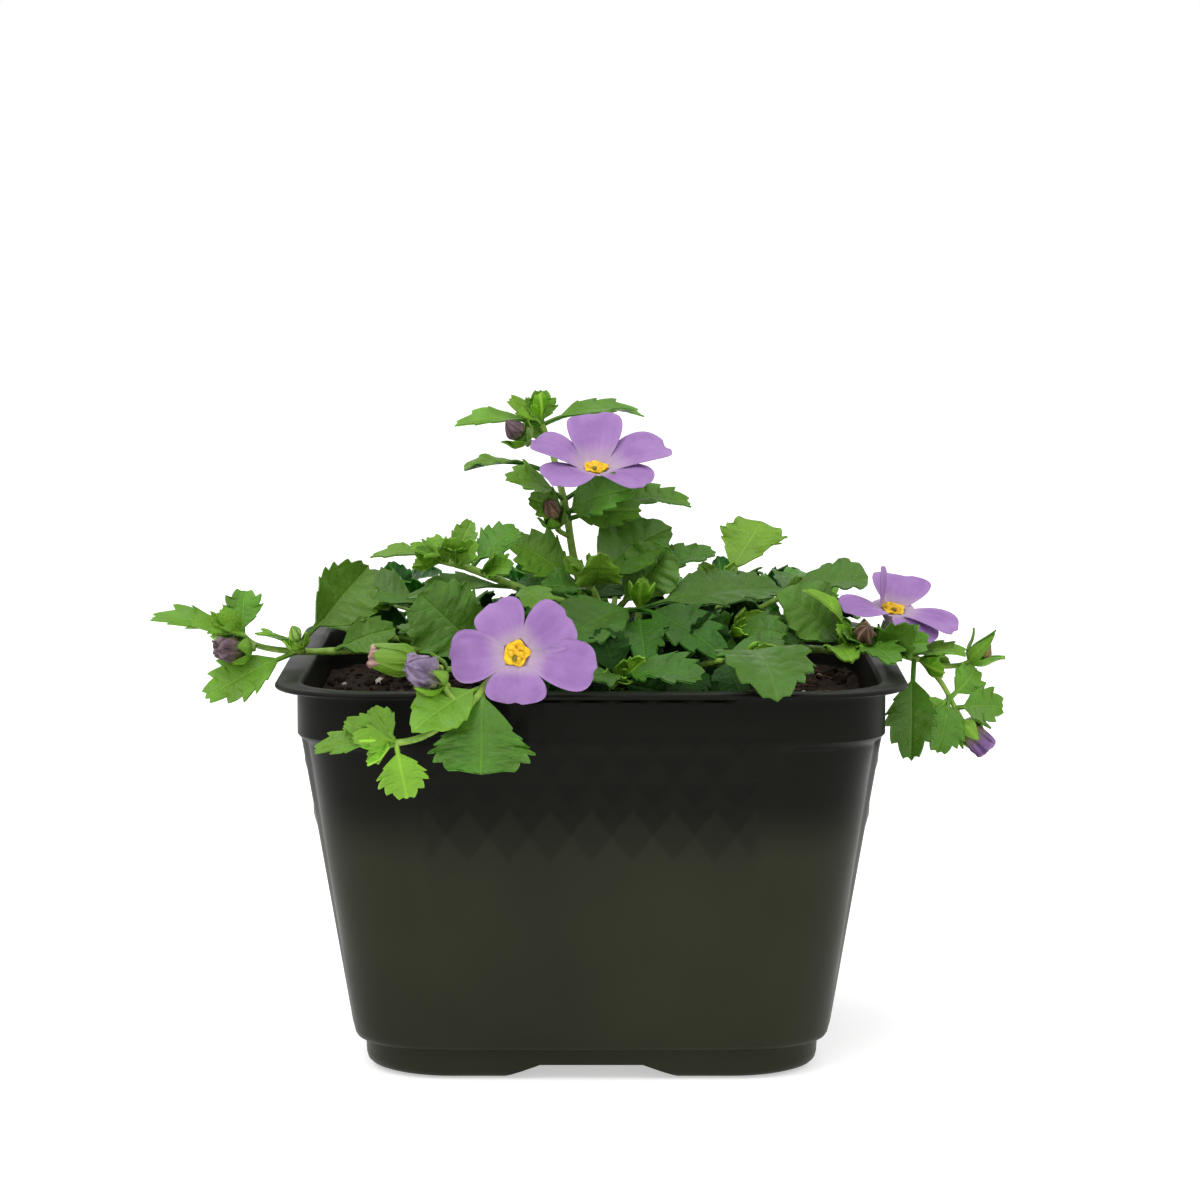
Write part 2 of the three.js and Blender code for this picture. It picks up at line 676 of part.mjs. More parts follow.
// Each stem rises straight through the soil at its foot and then follows its
// route. A leaf, pair or twig grows at a station: 0 is the foot's lower end,
// 1 its upper end, 2 the first point of the route, and halves lie between.
const STEMS = {
  stem_upright: {
    foot: [-1, 2],
    route: [[-0.5, 0, 73], [-2, -1, 82], [-3.5, -2, 89], [-4.5, -2, 95.5], [-6, 1, 102], [-7.5, 4, 107.5],
      [-9.5, 4.5, 112.5]],
    radius: [1, 0.6],
    leaves: [
      { at: 6, tip: [-23, -5, 104], width: 8, bend: 0.12, stalk: 0.3, widest: 0.68 },
      { at: 5.4, tip: [-15.5, -8, 102.5], width: 8.5, face: [0.3, -0.5, 1], teeth: 1 },
      { at: 8, tip: [-25, 2, 111.5], width: 5, face: [0, -0.5, 1], teeth: 1 },
      { at: 8, tip: [-9.3, 3, 118], width: 6, face: [0, -1, 0.2], fold: 20 },
      { at: 8, tip: [-15, 2, 116.5], width: 3.4, face: [0.3, -1, 0.3], teeth: 1 },
      { at: 7.8, tip: [9, 14, 112.8], width: 7, face: [0, -0.4, 1], teeth: 1 },
      { at: 5.1, tip: [18, 2, 97.2], width: 8, bend: 0.1, stalk: 0.36, face: [0, -0.5, 1] },
      { at: 5.4, tip: [9, 3, 103.5], width: 9, bend: 0.1, face: [-0.2, -0.7, 0.8] },
      { at: 3, tip: [-15, -2, 91], width: 9.5, face: [0.1, -0.8, 0.6] },
      { at: 2.5, tip: [-13, 3, 83.5], width: 11, face: [0, -0.7, 0.7], teeth: 1 },
      { at: 2.6, tip: [8, 8, 84.5], width: 12, face: [0, -0.6, 0.8], teeth: 1 },
    ],
    twigs: [
      { at: 5.15, route: [[-2.4, -3.6, 96.6], [0.45, -4.5, 97.8]], bears: 'bloom_top' },
      { at: 7.2, route: [[-10, 3.2, 108.3], [-12.2, 2, 108.8]], bears: 'bud_top' },
      { at: 4.4, route: [[-6, -4, 93], [-6.3, -4.5, 94]], bears: 'bud_upright' },
    ],
  },
  stem_centre: {
    foot: [5, -3],
    route: [[5, -4, 70], [3, -7, 76.5], [0.5, -9, 82], [-0.5, -9.5, 84.5]],
    radius: [1, 0.6],
    leaves: [
      { at: 5, tip: [14.5, -4, 93.5], width: 14, face: [0, -0.7, 0.8], stalk: 0.12, widest: 0.42 },
      { at: 4.8, tip: [22.5, -4, 89], width: 8, face: [0, -0.5, 1], stalk: 0.45, bend: 0.02 },
      { at: 3, tip: [14, -11, 90.5], width: 12, face: [0, -0.9, 0.3], stalk: 0.3, widest: 0.6, bend: 0.05 },
      { at: 4, tip: [-9, -12, 83.5], width: 8, face: [0, -0.4, 1], bend: 0.08 },
      { at: 4.6, tip: [1.5, -18, 90.5], width: 9, face: [0.2, -1, 0.3], fold: 26, bend: 0.12 },
      { at: 2.5, tip: [2, -17, 70.5], width: 7, face: [0, -0.8, 0.6], teeth: 1 },
      { at: 2.3, tip: [15, -12, 69], width: 8, face: [0, -0.6, 0.8], teeth: 1 },
    ],
  },
  stem_upper_left: {
    foot: [-5, -4],
    route: [[-2, -9, 70], [-1, -14, 79], [-11, -19.5, 83.5], [-21.5, -18, 87.5], [-27, -18, 89]],
    radius: [1, 0.6],
    leaves: [
      { at: 6, tip: [-39.5, -16, 89.3], width: 5, face: [0, -0.3, 1], teeth: 1 },
      { at: 5.6, tip: [-21.5, -16, 96], width: 4.6, face: [0.2, -1, 0.3], teeth: 1 },
      { at: 5, tip: [-13, -13, 94], width: 8, face: [-0.2, -0.7, 0.8] },
      { at: 6, tip: [-28.5, -16, 93], width: 4, face: [0.2, -1, 0.3], teeth: 1 },
      { at: 5.8, tip: [-32, -21, 91.5], width: 4, face: [0.3, -0.6, 1], teeth: 1 },
      { at: 5.4, tip: [-24, -24, 91.5], width: 4.5, face: [0, -0.6, 1], teeth: 1 },
      { at: 4.6, tip: [-17, -24, 91], width: 5, face: [0, -0.8, 0.8], teeth: 1 },
      { at: 4.2, tip: [-33, -17, 82], width: 8, face: [0, -0.4, 1], bend: 0.06 },
      { at: 5.8, tip: [-25, -22, 93.5], width: 4, face: [0.2, -1, 0.2], teeth: 1 },
      { at: 5.3, tip: [-20.5, -23, 93], width: 4.5, face: [0, -1, 0.3], teeth: 1 },
      { at: 4.8, tip: [-14, -24, 88], width: 6, face: [0, -0.8, 0.6], teeth: 1 },
      { at: 4.2, tip: [-8, -29, 80.5], width: 7, face: [0, -0.5, 1] },
    ],
  },
  stem_left: {
    foot: [-12, -3],
    route: [[-16, -6, 69.5], [-27, -11, 71.8], [-38, -14, 72.4], [-51.5, -16, 72.4], [-59, -17, 73.4],
      [-63, -17, 75.5]],
    radius: [1, 0.55],
    leaves: [
      { at: 5.2, tip: [-40.2, -10, 87.3], width: 13, face: [0.5, -0.75, 0.4], fold: 28, stalk: 0.28,
        bend: 0.06 },
      { at: 5.1, tip: [-59.5, -20.5, 76], width: 4.5, teeth: 1 },
      { at: 5.1, tip: [-68.5, -23.5, 65], width: 9, face: [0, -0.75, 0.65], bend: 0.05, fold: 8,
        stalk: 0.2 },
      { at: 4, tip: [-49, -3, 77.5], width: 6, face: [0, -0.6, 0.8], teeth: 1 },
      { at: 6.5, tip: [-78.5, -17, 78.5], width: 5.5, face: [0, -0.6, 1] },
      { at: 7, tip: [-62.3, -13, 83], width: 7, face: [0, -1, 0.2], fold: 18 },
      { at: 6.8, tip: [-71, -21, 78.5], width: 4, face: [0, -0.8, 0.6], teeth: 1 },
      { at: 7, tip: [-66, -21, 80.5], width: 4, face: [0.2, -1, 0.3], teeth: 1 },
    ],
    pairs: [{ at: 3, length: 12, width: 8, spread: 70, teeth: 1 }],
    twigs: [
      { at: 6.2, route: [[-60.5, -19, 73.6], [-61, -20, 73.4]], bears: 'bud_left' },
      { at: 5, route: [[-51.6, -20, 73.6], [-51.8, -21.5, 74]], bears: 'bud_left_small' },
    ],
  },
  stem_left_back: {
    foot: [-9, 6],
    route: [[-15, 6, 69.5], [-22, 4, 74], [-30, 2, 77.5], [-36, 5, 79]],
    radius: [0.9, 0.55],
    leaves: [
      { at: 4, tip: [-45, 5, 81.5], width: 10, face: [0.2, -0.6, 0.8] },
      { at: 5, tip: [-41, 16, 80], width: 8, teeth: 1 },
      { at: 4, tip: [-25, -7, 81], width: 8, face: [0, -0.5, 1], teeth: 1 },
      { at: 3, tip: [-27, 14, 76.5], width: 9, teeth: 1 },
    ],
  },
  stem_front_left: {
    foot: [-6, -10],
    route: [[-9, -20, 66.8], [-12, -34, 69.2], [-14.5, -46, 71.6], [-17, -53, 72.2], [-21, -59.8, 68.5],
      [-28, -62, 64], [-34, -62, 62.5]],
    radius: [0.95, 0.6],
    leaves: [
      { at: 3.2, tip: [-30, -35, 85], width: 15, face: [-0.3, -1, 0.2], stalk: 0.24, widest: 0.6,
        bend: 0.05 },
      { at: 5.3, tip: [-30, -65, 65], width: 10, face: [0.2, -0.5, 0.9], bend: 0.08, fold: 6 },
      { at: 5.4, tip: [-18.5, -62.5, 57.5], width: 17, face: [0, -1, 0.2], widest: 0.7, stalk: 0.1, teeth: 4,
        fold: -8 },
      { at: 8, tip: [-46.5, -63, 61.5], width: 5, face: [0, -0.6, 0.8], teeth: 1 },
      { at: 8, tip: [-37, -61, 68.6], width: 5, face: [0.1, -1, 0.2], teeth: 1 },
      { at: 8, tip: [-41.5, -63, 66.5], width: 5, face: [0.3, -1, 0.3], teeth: 1 },
      { at: 7.8, tip: [-31, -63, 53.5], width: 8, face: [0, -1, 0.2], fold: 8 },
      { at: 8, tip: [-40, -65, 64], width: 4, face: [0, -0.8, 0.6], teeth: 1 },
    ],
    twigs: [
      { at: 4.6, route: [[-20, -50.5, 73], [-27, -50.5, 74.3], [-30, -50, 75]], bears: 'bud_front_calyx' },
      { at: 6.1, route: [[-24.2, -59.3, 71], [-24.9, -59.1, 72.5]], bears: 'bud_front_purple' },
    ],
  },
  stem_front_bloom: {
    foot: [0, -11],
    route: [[-3, -22, 67.5], [-7, -34, 70.5], [-10.5, -43, 74], [-12.7, -47.8, 75.6]],
    radius: [0.9, 0.6],
    leaves: [
      { at: 3, tip: [-21, -27, 76], width: 9, face: [0.2, -0.6, 1], teeth: 1 },
    ],
    ends: 'bloom_front',
  },
  stem_front_mid: {
    foot: [6, -11],
    route: [[7, -15, 69], [8, -16, 75], [8.5, -16, 80.5]],
    radius: [0.9, 0.6],
    leaves: [
      { at: 4, tip: [-6.5, -33, 75.5], width: 12, face: [-0.1, -0.75, 0.66], bend: 0.1 },
      { at: 3.6, tip: [9.5, -32, 72.5], width: 9, face: [0, -0.8, 0.6], bend: 0.1 },
      { at: 4, tip: [23, -30, 73.5], width: 10, face: [0.1, -0.8, 0.6], bend: 0.1 },
      { at: 4, tip: [34.5, -7, 82.5], width: 13, face: [0, -0.5, 1], bend: 0.06, fold: 10 },
      { at: 3, tip: [0, -31, 69.5], width: 10, face: [-0.2, -0.8, 0.5], teeth: 1 },
    ],
  },
  stem_front_right: {
    foot: [11, -9],
    route: [[16, -20, 69], [21, -29, 72], [27, -36, 74]],
    radius: [0.9, 0.6],
    leaves: [
      { at: 4, tip: [31.5, -58.5, 69.3], width: 17, face: [0.1, -0.3, 1], bend: 0.17, fold: 6,
        widest: 0.45 },
      { at: 3, tip: [36, -32, 73], width: 9, face: [0, -0.6, 1], teeth: 1 },
      { at: 2.6, tip: [14, -39, 67], width: 9, face: [0, -1, 0.4], teeth: 1 },
      { at: 3.4, tip: [26, -44, 67.5], width: 8, face: [0, -1, 0.4], teeth: 1 },
    ],
  },
  stem_right: {
    foot: [13, -3],
    route: [[18, -6, 69], [27, -9, 71.5], [36, -11, 72.2], [45, -13, 72.2], [53, -14, 72], [59, -15, 70.8]],
    radius: [1, 0.6],
    leaves: [
      { at: 5, tip: [33, -15.5, 83], width: 13, face: [0.75, -0.65, 0.2], fold: 12, bend: 0.13,
        stalk: 0.12 },
      { at: 4.9, tip: [37.5, -20, 84], width: 3.6, face: [0.9, -0.3, 0.4], bend: 0.22, fold: 20,
        teeth: 1 },
      { at: 4.8, tip: [46, -27, 71.8], width: 7, face: [0, -0.5, 1], teeth: 1 },
      { at: 5.3, tip: [53.5, -29, 71.8], width: 8, face: [0, -0.4, 1], fold: 8 },
      { at: 6, tip: [57, -24.5, 78.3], width: 7, face: [0.1, -1, 0.3], fold: 16 },
      { at: 6.6, tip: [67, -16, 72], width: 5, face: [0, -0.5, 1], teeth: 1 },
      { at: 5.2, tip: [43.5, -21, 77], width: 4, face: [0.3, -0.8, 0.5], teeth: 1 },
      { at: 6.8, tip: [56.5, -28, 54.5], width: 9, face: [-0.2, -1, 0], stalk: 0.22, bend: 0.05 },
    ],
    twigs: [
      { at: 5.5, route: [[50.5, -9.5, 72.4], [53.2, -7.5, 72.5]], bears: 'bloom_right' },
      { at: 5.6, route: [[48.6, -16, 74], [48.6, -17, 74.6]], bears: 'bud_right' },
      { at: 7, route: [[62, -15, 69.7], [66, -15, 69.8], [68, -15, 70.6]], bears: 'bud_right_spiky' },
      { at: 7, route: [[62.5, -17, 67], [65, -18, 62.5], [66.5, -18, 59.8]], bears: 'bud_right_purple',
        leaves: [
          { at: 2, tip: [73.5, -19, 63], width: 7, face: [0, -1, 0.4] },
          { at: 1.6, tip: [69, -15, 69.2], width: 6, face: [0.2, -1, 0.2], teeth: 1 },
          { at: 1.5, tip: [61.5, -22, 55], width: 8, face: [0.2, -1, 0.1] },
          { at: 1.6, tip: [58.5, -20, 61], width: 5, face: [0.2, -1, 0.2], teeth: 1 },
        ] },
    ],
  },
  stem_front_low: {
    foot: [2, -16],
    route: [[3, -24, 65.8], [4, -31, 68], [5, -35, 70]],
    radius: [0.9, 0.6],
    leaves: [
      { at: 4, tip: [-4, -47, 71], width: 11, face: [0, -0.6, 1] },
      { at: 4, tip: [19, -46, 71.2], width: 10, face: [0, -0.6, 1] },
    ],
  },
  stem_right_round: {
    foot: [7, 4],
    route: [[12, 4, 71], [19, 3, 78], [24, 2.5, 81.5]],
    radius: [0.9, 0.55],
    leaves: [
      { at: 4, tip: [31.5, 14, 92.8], width: 13.2, face: [-0.2, -0.6, 0.75], stalk: 0.3, widest: 0.66,
        teeth: 4, fold: 4, bend: 0.02 },
      { at: 3.8, tip: [19.5, -0.5, 86.5], width: 4, face: [0, -0.8, 0.6], teeth: 1, stalk: 0.3 },
      { at: 3, tip: [12, 14, 81], width: 9, teeth: 1 },
      { at: 3.6, tip: [30, 14, 82.5], width: 9, teeth: 1 },
    ],
  },
  stem_right_back: {
    foot: [11, 9],
    route: [[20, 10, 70], [28, 9, 75.5], [35, 8, 79.5]],
    radius: [0.9, 0.55],
    leaves: [
      { at: 4, tip: [51, 9, 83], width: 12, face: [0.1, -0.45, 1], bend: 0.06, widest: 0.62 },
      { at: 2.6, tip: [31, 1, 78], width: 9, face: [0, -1, 0.3], teeth: 1 },
      { at: 4, tip: [41, 22, 82], width: 9, teeth: 1 },
      { at: 3, tip: [27, 23, 78], width: 10, teeth: 1 },
    ],
  },
  stem_right_mid: {
    foot: [16, -9],
    route: [[19, -12, 69.5], [23, -15, 73.8], [25.5, -17, 76.2]],
    radius: [0.9, 0.55],
    leaves: [
      { at: 4, tip: [21, -23, 71], width: 8, face: [0.3, -1, 0.2] },
      { at: 3, tip: [37, -20, 73.5], width: 9, face: [0, -0.8, 0.6] },
      { at: 3.6, tip: [12.5, -12, 73], width: 9, face: [0, -0.8, 0.5], bend: 0.04, teeth: 1 },
      { at: 4, tip: [38, -10, 74.5], width: 9, face: [0, -0.7, 0.7], bend: 0.05, teeth: 1 },
      { at: 3.4, tip: [20.5, -21.5, 78.5], width: 7, face: [0, -1, 0.3], teeth: 1 },
      { at: 4, tip: [34.5, -25, 76.5], width: 7, face: [0, -0.8, 0.6], teeth: 1 },
    ],
  },
};

// Stems at the back and the sides, whose leaves are set in pairs by rule
const RULED_STEMS = {
  stem_back_left: {
    foot: [-7, 13],
    route: [[-16, 22, 68.5], [-27, 33, 71.5], [-37, 45, 73.5], [-42, 55, 72.6], [-44.5, 60.5, 67.5],
      [-46, 62, 62]],
    seed: 11,
    ruled: [3, 4.5],
  },
  stem_back_mid: {
    foot: [-1, 15],
    route: [[-4, 26, 68.5], [-7, 38, 72.5], [-9, 50, 73.3], [-11, 58, 71], [-12, 62, 65], [-13, 63, 58]],
    seed: 23,
    ruled: [3.2, 5],
  },
  stem_back_right: {
    foot: [6, 14],
    route: [[12, 26, 69], [20, 38, 72.5], [27, 49, 73.5], [32, 57, 72], [35, 61, 66.5]],
    seed: 37,
    ruled: [3, 4.4],
  },
  stem_back_short: {
    foot: [2, 9],
    route: [[3, 14, 70.5], [4, 19, 76], [4.5, 22, 79]],
    seed: 41,
    ruled: [2.8],
  },
  stem_side_left: {
    foot: [-13, 3],
    route: [[-22, 10, 67], [-30, 17, 69], [-38, 24, 70]],
    seed: 53,
    ruled: [3.2],
  },
  stem_side_right: {
    foot: [14, 4],
    route: [[24, 14, 69], [34, 22, 72], [43, 30, 73]],
    seed: 67,
    ruled: [3.4],
  },
};

// Petals of each bloom by their angle round the eye, seen along its look
const BLOOMS = {
  bloom_top: {
    look: [0.05, -0.35, 0.93],
    petals: [
      { angle: 86, length: 12, width: 10.2, tilt: 31 },
      { angle: 17, length: 14.4, width: 11.5, tilt: 13 },
      { angle: 158, length: 12.4, width: 9.5, tilt: 19 },
      { angle: 218, length: 11.6, width: 10, tilt: 5 },
      { angle: 316, length: 11.2, width: 9.5, tilt: 2 },
    ],
  },
  bloom_front: {
    look: [0.02, -0.98, 0.2],
    petals: [
      { angle: 116, length: 9.7, width: 8.8, tilt: 8 },
      { angle: 37, length: 11, width: 9.3, tilt: 8 },
      { angle: 184, length: 11.7, width: 9.2, tilt: 6 },
      { angle: 347, length: 13.9, width: 8.7, tilt: 6 },
      { angle: 268, length: 8.8, width: 10.4, tilt: 10 },
    ],
  },
  bloom_right: {
    look: [0.16, -0.32, 0.93],
    petals: [
      { angle: 52, length: 7.8, width: 10.8, tilt: 36 },
      { angle: 141, length: 3.4, width: 6, tilt: 81 },
      { angle: 187, length: 11.2, width: 9, tilt: 8 },
      { angle: 308, length: 12.6, width: 8.4, tilt: 2 },
      { angle: 274, length: 11, width: 8.4, tilt: -10 },
    ],
  },
};

const BUDS = {
  bud_top: { look: [-0.6, -0.4, 0.7], radius: 1.7, length: 4.2, finish: BUD_FINISH },
  bud_upright: { look: [-0.3, -0.3, 0.9], radius: 1.5, length: 4, finish: WITHERED_FINISH },
  bud_left: { look: [-0.8, -0.4, 0.05], radius: 2, length: 5, finish: BUD_FINISH },
  bud_left_small: { look: [-0.3, -0.3, 0.9], radius: 1.2, length: 3, finish: GREEN_FINISH },
  bud_front_calyx: { look: [-1, 0, 0.12], radius: 1.8, length: 6.8, calyx: 0.92, finish: BUD_FINISH },
  bud_front_purple: { look: [-0.8, -0.25, 0.45], radius: 2.6, length: 6, finish: BUD_FINISH },
  bud_right: { look: [0.1, -0.8, 0.5], radius: 1.7, length: 4.2, finish: WITHERED_FINISH },
  bud_right_spiky: { look: [0.7, -0.1, 0.6], radius: 1.5, length: 3.4, finish: GREEN_FINISH },
  bud_right_purple: { look: [0.6, -0.2, -0.7], radius: 2.2, length: 5.5, finish: BUD_FINISH },
};

function growBloom(name, end, look) {
  const { petals } = BLOOMS[name];
  const centre = end.clone().addScaledVector(look, TUBE_LENGTH + SEPAL_THICKNESS + 0.6);
  const whole = join([tubeSolid(), ...petals.map(petalSolid)]);
  const spin = bloomSpin(look);
  const eye = solidOfGeometry(eyeGeometry());
  return [
    meshOf(name + '_petals', moved(whole, centre, look, spin), PETAL_FINISH),
    meshOf(name + '_eye', moved(eye, centre, look, spin), EYE_FINISH),
  ];
}

// The spin that brings a bloom's angle 0 to the right as seen from its front
function bloomSpin(look) {
  const right = new THREE.Vector3().crossVectors(UP, look).normalize();
  const turn = new THREE.Quaternion().setFromUnitVectors(UP, look).invert();
  const local = right.applyQuaternion(turn);
  return THREE.MathUtils.radToDeg(Math.atan2(local.y, local.x));
}

function growEnd(name, end, solids) {
  const isBloom = name in BLOOMS;
  const look = vector((isBloom ? BLOOMS : BUDS)[name].look).normalize();
  const mouth = MOUTH_GAP + (isBloom ? TUBE_RADIUS : BUDS[name].radius);
  const size = isBloom ? BLOOM_CALYX : (BUDS[name].calyx ?? CALYX_SHARE) * BUDS[name].length;
  solids.push(calyxSolid(end, look, mouth, size));
  if (isBloom) {
    return growBloom(name, end, look);
  }
  const { radius, length, finish } = BUDS[name];
  return [meshOf(name, budSolid(end, look, radius, length), finish)];
}

function growLeaves(curve, stations, leaves, solids) {
  for (const leaf of leaves) {
    const along = Math.min(leaf.at / (stations - 1), ROOT_LAST);
    const base = curve.getPoint(along);
    base.addScaledVector(vector(leaf.tip).sub(base).normalize(), ROOT_OFFSET);
    solids.push(leafSolid(base, { ...LEAF_DEFAULTS, ...leaf }));
  }
}

// Opposite pairs at the ruled stations, and a small pair at the growing tip
function ruledLeaves(curve, stations, ruled, random) {
  const pairs = ruled.map((at, index) => ({ ...RULED_PAIR, at, turn: index % 2 === 0 ? 15 : -10 }));
  pairs.push({ ...TIP_PAIR, at: stations - 1 - TIP_SETBACK });
  return pairs.flatMap((pair) => leafPair(curve, stations, pair, random));
}

function growStem(name, stem) {
  const [x, y] = stem.foot;
  const route = [[x, y, STEM_FOOT_Z], [x, y, SOIL_TOP + FOOT_RISE], ...stem.route];
  const curve = smoothCurve(route);
  const stations = route.length;
  const [footRadius, tipRadius] = stem.radius ?? STEM_RADIUS;
  const solids = [stemSolid(curve, footRadius, tipRadius, stations - 1)];
  const extras = [];
  const random = makeRandom(stem.seed ?? DEFAULT_SEED);
  const leaves = [...(stem.leaves ?? [])];
  for (const pair of stem.pairs ?? []) {
    leaves.push(...leafPair(curve, stations, pair, random));
  }
  if (stem.ruled) {
    leaves.push(...ruledLeaves(curve, stations, stem.ruled, random));
  }
  growLeaves(curve, stations, leaves, solids);
  for (const twig of stem.twigs ?? []) {
    const start = curve.getPoint(twig.at / (stations - 1));
    const twigRoute = [start.toArray(), ...twig.route];
    const twigCurve = smoothCurve(twigRoute);
    solids.push(stemSolid(twigCurve, TWIG_RADIUS, TWIG_RADIUS, twigRoute.length - 1));
    growLeaves(twigCurve, twigRoute.length, twig.leaves ?? [], solids);
    extras.push(...growEnd(twig.bears, vector(twigRoute.at(-1)), solids));
  }
  if (stem.ends) {
    extras.push(...growEnd(stem.ends, vector(route.at(-1)), solids));
  }
  return [meshOf(name, join(solids), GREEN_FINISH), ...extras];
}

// Soil

// Lumps of the soil's surface, as a sum of slow and quick waves
function soilLift(x, y) {
  const slow = Math.sin(x * 0.21 + 1.3) * Math.cos(y * 0.17 - 0.6);
  const quick = Math.sin(x * 0.63 - y * 0.41) * Math.cos(y * 0.71 + x * 0.29);
  return SOIL_ROUGHNESS * (0.6 * slow + 0.4 * quick);
}

function stemHole([x, y], radius) {
  const height = SOIL_TOP + 6 - HOLE_FLOOR_Z;
  const hole = new THREE.CylinderGeometry(radius, radius, height, HOLE_SIDES);
  hole.rotateX(Math.PI / 2);
  hole.translate(x, y, HOLE_FLOOR_Z + height / 2);
  return solidOfGeometry(hole);
}

// The soil's top: a lumpy lid that is kept inside the pot by an intersection
function soilLid() {
  const half = LIP_HALF;
  const cells = SOIL_CELLS;
  const top = [];
  const floor = [];
  for (let row = 0; row <= cells; row += 1) {
    for (let column = 0; column <= cells; column += 1) {
      const x = half * (2 * column / cells - 1);
      const y = half * (2 * row / cells - 1);
      top.push(new THREE.Vector3(x, y, SOIL_TOP + soilLift(x, y)));
      floor.push(new THREE.Vector3(x, y, -5));
    }
  }
  const width = cells + 1;
  const under = top.length;
  const triangles = [];
  for (let row = 0; row < cells; row += 1) {
    for (let column = 0; column < cells; column += 1) {
      const a = row * width + column;
      triangles.push([a, a + 1, a + width + 1], [a, a + width + 1, a + width]);
      triangles.push([a + under, a + under + width + 1, a + under + 1]);
      triangles.push([a + under, a + under + width, a + under + width + 1]);
    }
  }
  for (let step = 0; step < cells; step += 1) {
    const edges = [
      [step, step + 1],
      [cells * width + step + 1, cells * width + step],
      [(step + 1) * width, step * width],
      [step * width + cells, (step + 1) * width + cells],
    ];
    for (const [a, b] of edges) {
      triangles.push([b, a, a + under], [b, a + under, b + under]);
    }
  }
  return solidFrom([...top, ...floor], triangles);
}

function makeSoil(stems) {
  let soil = loft(hollowRings(SOIL_GAP, POT_HEIGHT)).intersect(soilLid());
  soil = soil.subtract(underCross(WALL + SOIL_GAP));
  for (const { foot, radius } of stems) {
    const [footRadius] = radius ?? STEM_RADIUS;
    soil = soil.subtract(stemHole(foot, (footRadius + HOLE_GAP) / Math.cos(Math.PI / HOLE_SIDES)));
  }
  return soil;
}

const pottedBacopa = new THREE.Group();
pottedBacopa.name = 'potted_bacopa';

const allStems = { ...STEMS, ...RULED_STEMS };
pottedBacopa.add(meshOf('pot', makePot(), POT_FINISH));
pottedBacopa.add(meshOf('soil', makeSoil(Object.values(allStems)), SOIL_FINISH));
for (const [name, stem] of Object.entries(allStems)) {
  pottedBacopa.add(...growStem(name, stem));
}

export default pottedBacopa;
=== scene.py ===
"""Potted bacopa: the finished look of the plant, its soil and its nursery pot.

Everything is worked out in millimetres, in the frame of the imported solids, and
turned into metres when a piece is made.
"""
import math

import bpy
import numpy as np
from mathutils import Matrix, Vector, noise


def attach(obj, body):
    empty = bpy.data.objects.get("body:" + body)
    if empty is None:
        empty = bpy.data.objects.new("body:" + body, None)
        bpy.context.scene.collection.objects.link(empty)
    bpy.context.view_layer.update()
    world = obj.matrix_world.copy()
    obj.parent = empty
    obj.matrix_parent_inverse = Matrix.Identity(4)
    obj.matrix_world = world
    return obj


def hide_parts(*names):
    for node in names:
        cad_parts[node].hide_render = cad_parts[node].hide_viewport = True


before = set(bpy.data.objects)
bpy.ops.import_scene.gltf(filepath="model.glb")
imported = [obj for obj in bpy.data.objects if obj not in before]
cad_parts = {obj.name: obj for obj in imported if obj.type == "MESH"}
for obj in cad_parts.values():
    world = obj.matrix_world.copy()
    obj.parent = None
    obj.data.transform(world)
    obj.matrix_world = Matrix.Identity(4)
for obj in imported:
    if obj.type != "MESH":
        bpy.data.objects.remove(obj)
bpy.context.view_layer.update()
MM = 0.001

# The camera of the photograph
CAMERA_PLACE = (1.5, -755.0, 166.8)
CAMERA_PITCH = -6.57
CAMERA_LENS = 124.86
CAMERA_SENSOR = 36.0

# Driving sizes of the pot
LIP_WIDTH = 110.0
POT_HEIGHT = 70.0
WALL = 1.1
LIP_REACH = 3.8
LIP_THICKNESS = 1.0
COLLAR_FOOT = 60.2
BODY_TOP_HALF = 49.5
BODY_FOOT_HALF = 41.9
FOOT_HALF = 40.1
FOOT_HEIGHT = 5.5
LIP_HALF = LIP_WIDTH / 2
COLLAR_HALF = LIP_HALF - LIP_REACH
CORNER_RADIUS = 14.0
BOW_TOP = COLLAR_HALF - BODY_TOP_HALF
BOW_FOOT = 0.5
FLUSH_PART = 0.86
ARCH_HEIGHT = 2.5
ARCH_FOOT_WIDTH = 31.0
ARCH_TOP_WIDTH = 18.0
BOSS_FOOT_WIDTH = 14.0
BOSS_TOP_WIDTH = 19.0
DRAIN_RADIUS = 3.5
DRAIN_PLACE = 25.0

# Diamond lattice on the upper face of each side
LATTICE_PITCH = 7.1
LATTICE_ROW = 4.7
LATTICE_COLUMNS = 16
LATTICE_ROWS = 6
LATTICE_TOP = 68.1
LATTICE_HIGH = 0.55
LATTICE_LOW = 0.14

# Soil
SOIL_TOP = 62.0
SOIL_ROUGHNESS = 0.9
STEM_FOOT_Z = 55.5
FOOT_RISE = 2.4

# Thickness of what grows
LEAF_THICKNESS = 0.3
PETAL_THICKNESS = 0.3
STALK_HALF = 0.42
TWIG_RADIUS = 0.55
ROOT_LAST = 0.975
STEM_RADIUS = (0.9, 0.55)
DEFAULT_SEED = 5
SEPALS = 5
TUBE_LENGTH = 6.0
TUBE_RADIUS = 1.0
THROAT_RADIUS = 3.0
PETAL_START = 2.2
PETAL_ROOT = 0.4
PETAL_ARCH = 0.08
PETAL_ROLL = 0.1
SEPAL_THICKNESS = 0.6
MOUTH_GAP = 0.45
BUD_SEAT = 0.65
BLOOM_CALYX = 4.0

# Leaf pairs of the stems that are grown by rule
RULED_PAIR = dict(length=14, width=10)
TIP_PAIR = dict(length=8, width=5.5, spread=48, turn=70)
TIP_SETBACK = 0.1

UP = np.array([0.0, 0.0, 1.0])


def unit(values):
    values = np.asarray(values, float)
    return values / np.linalg.norm(values)


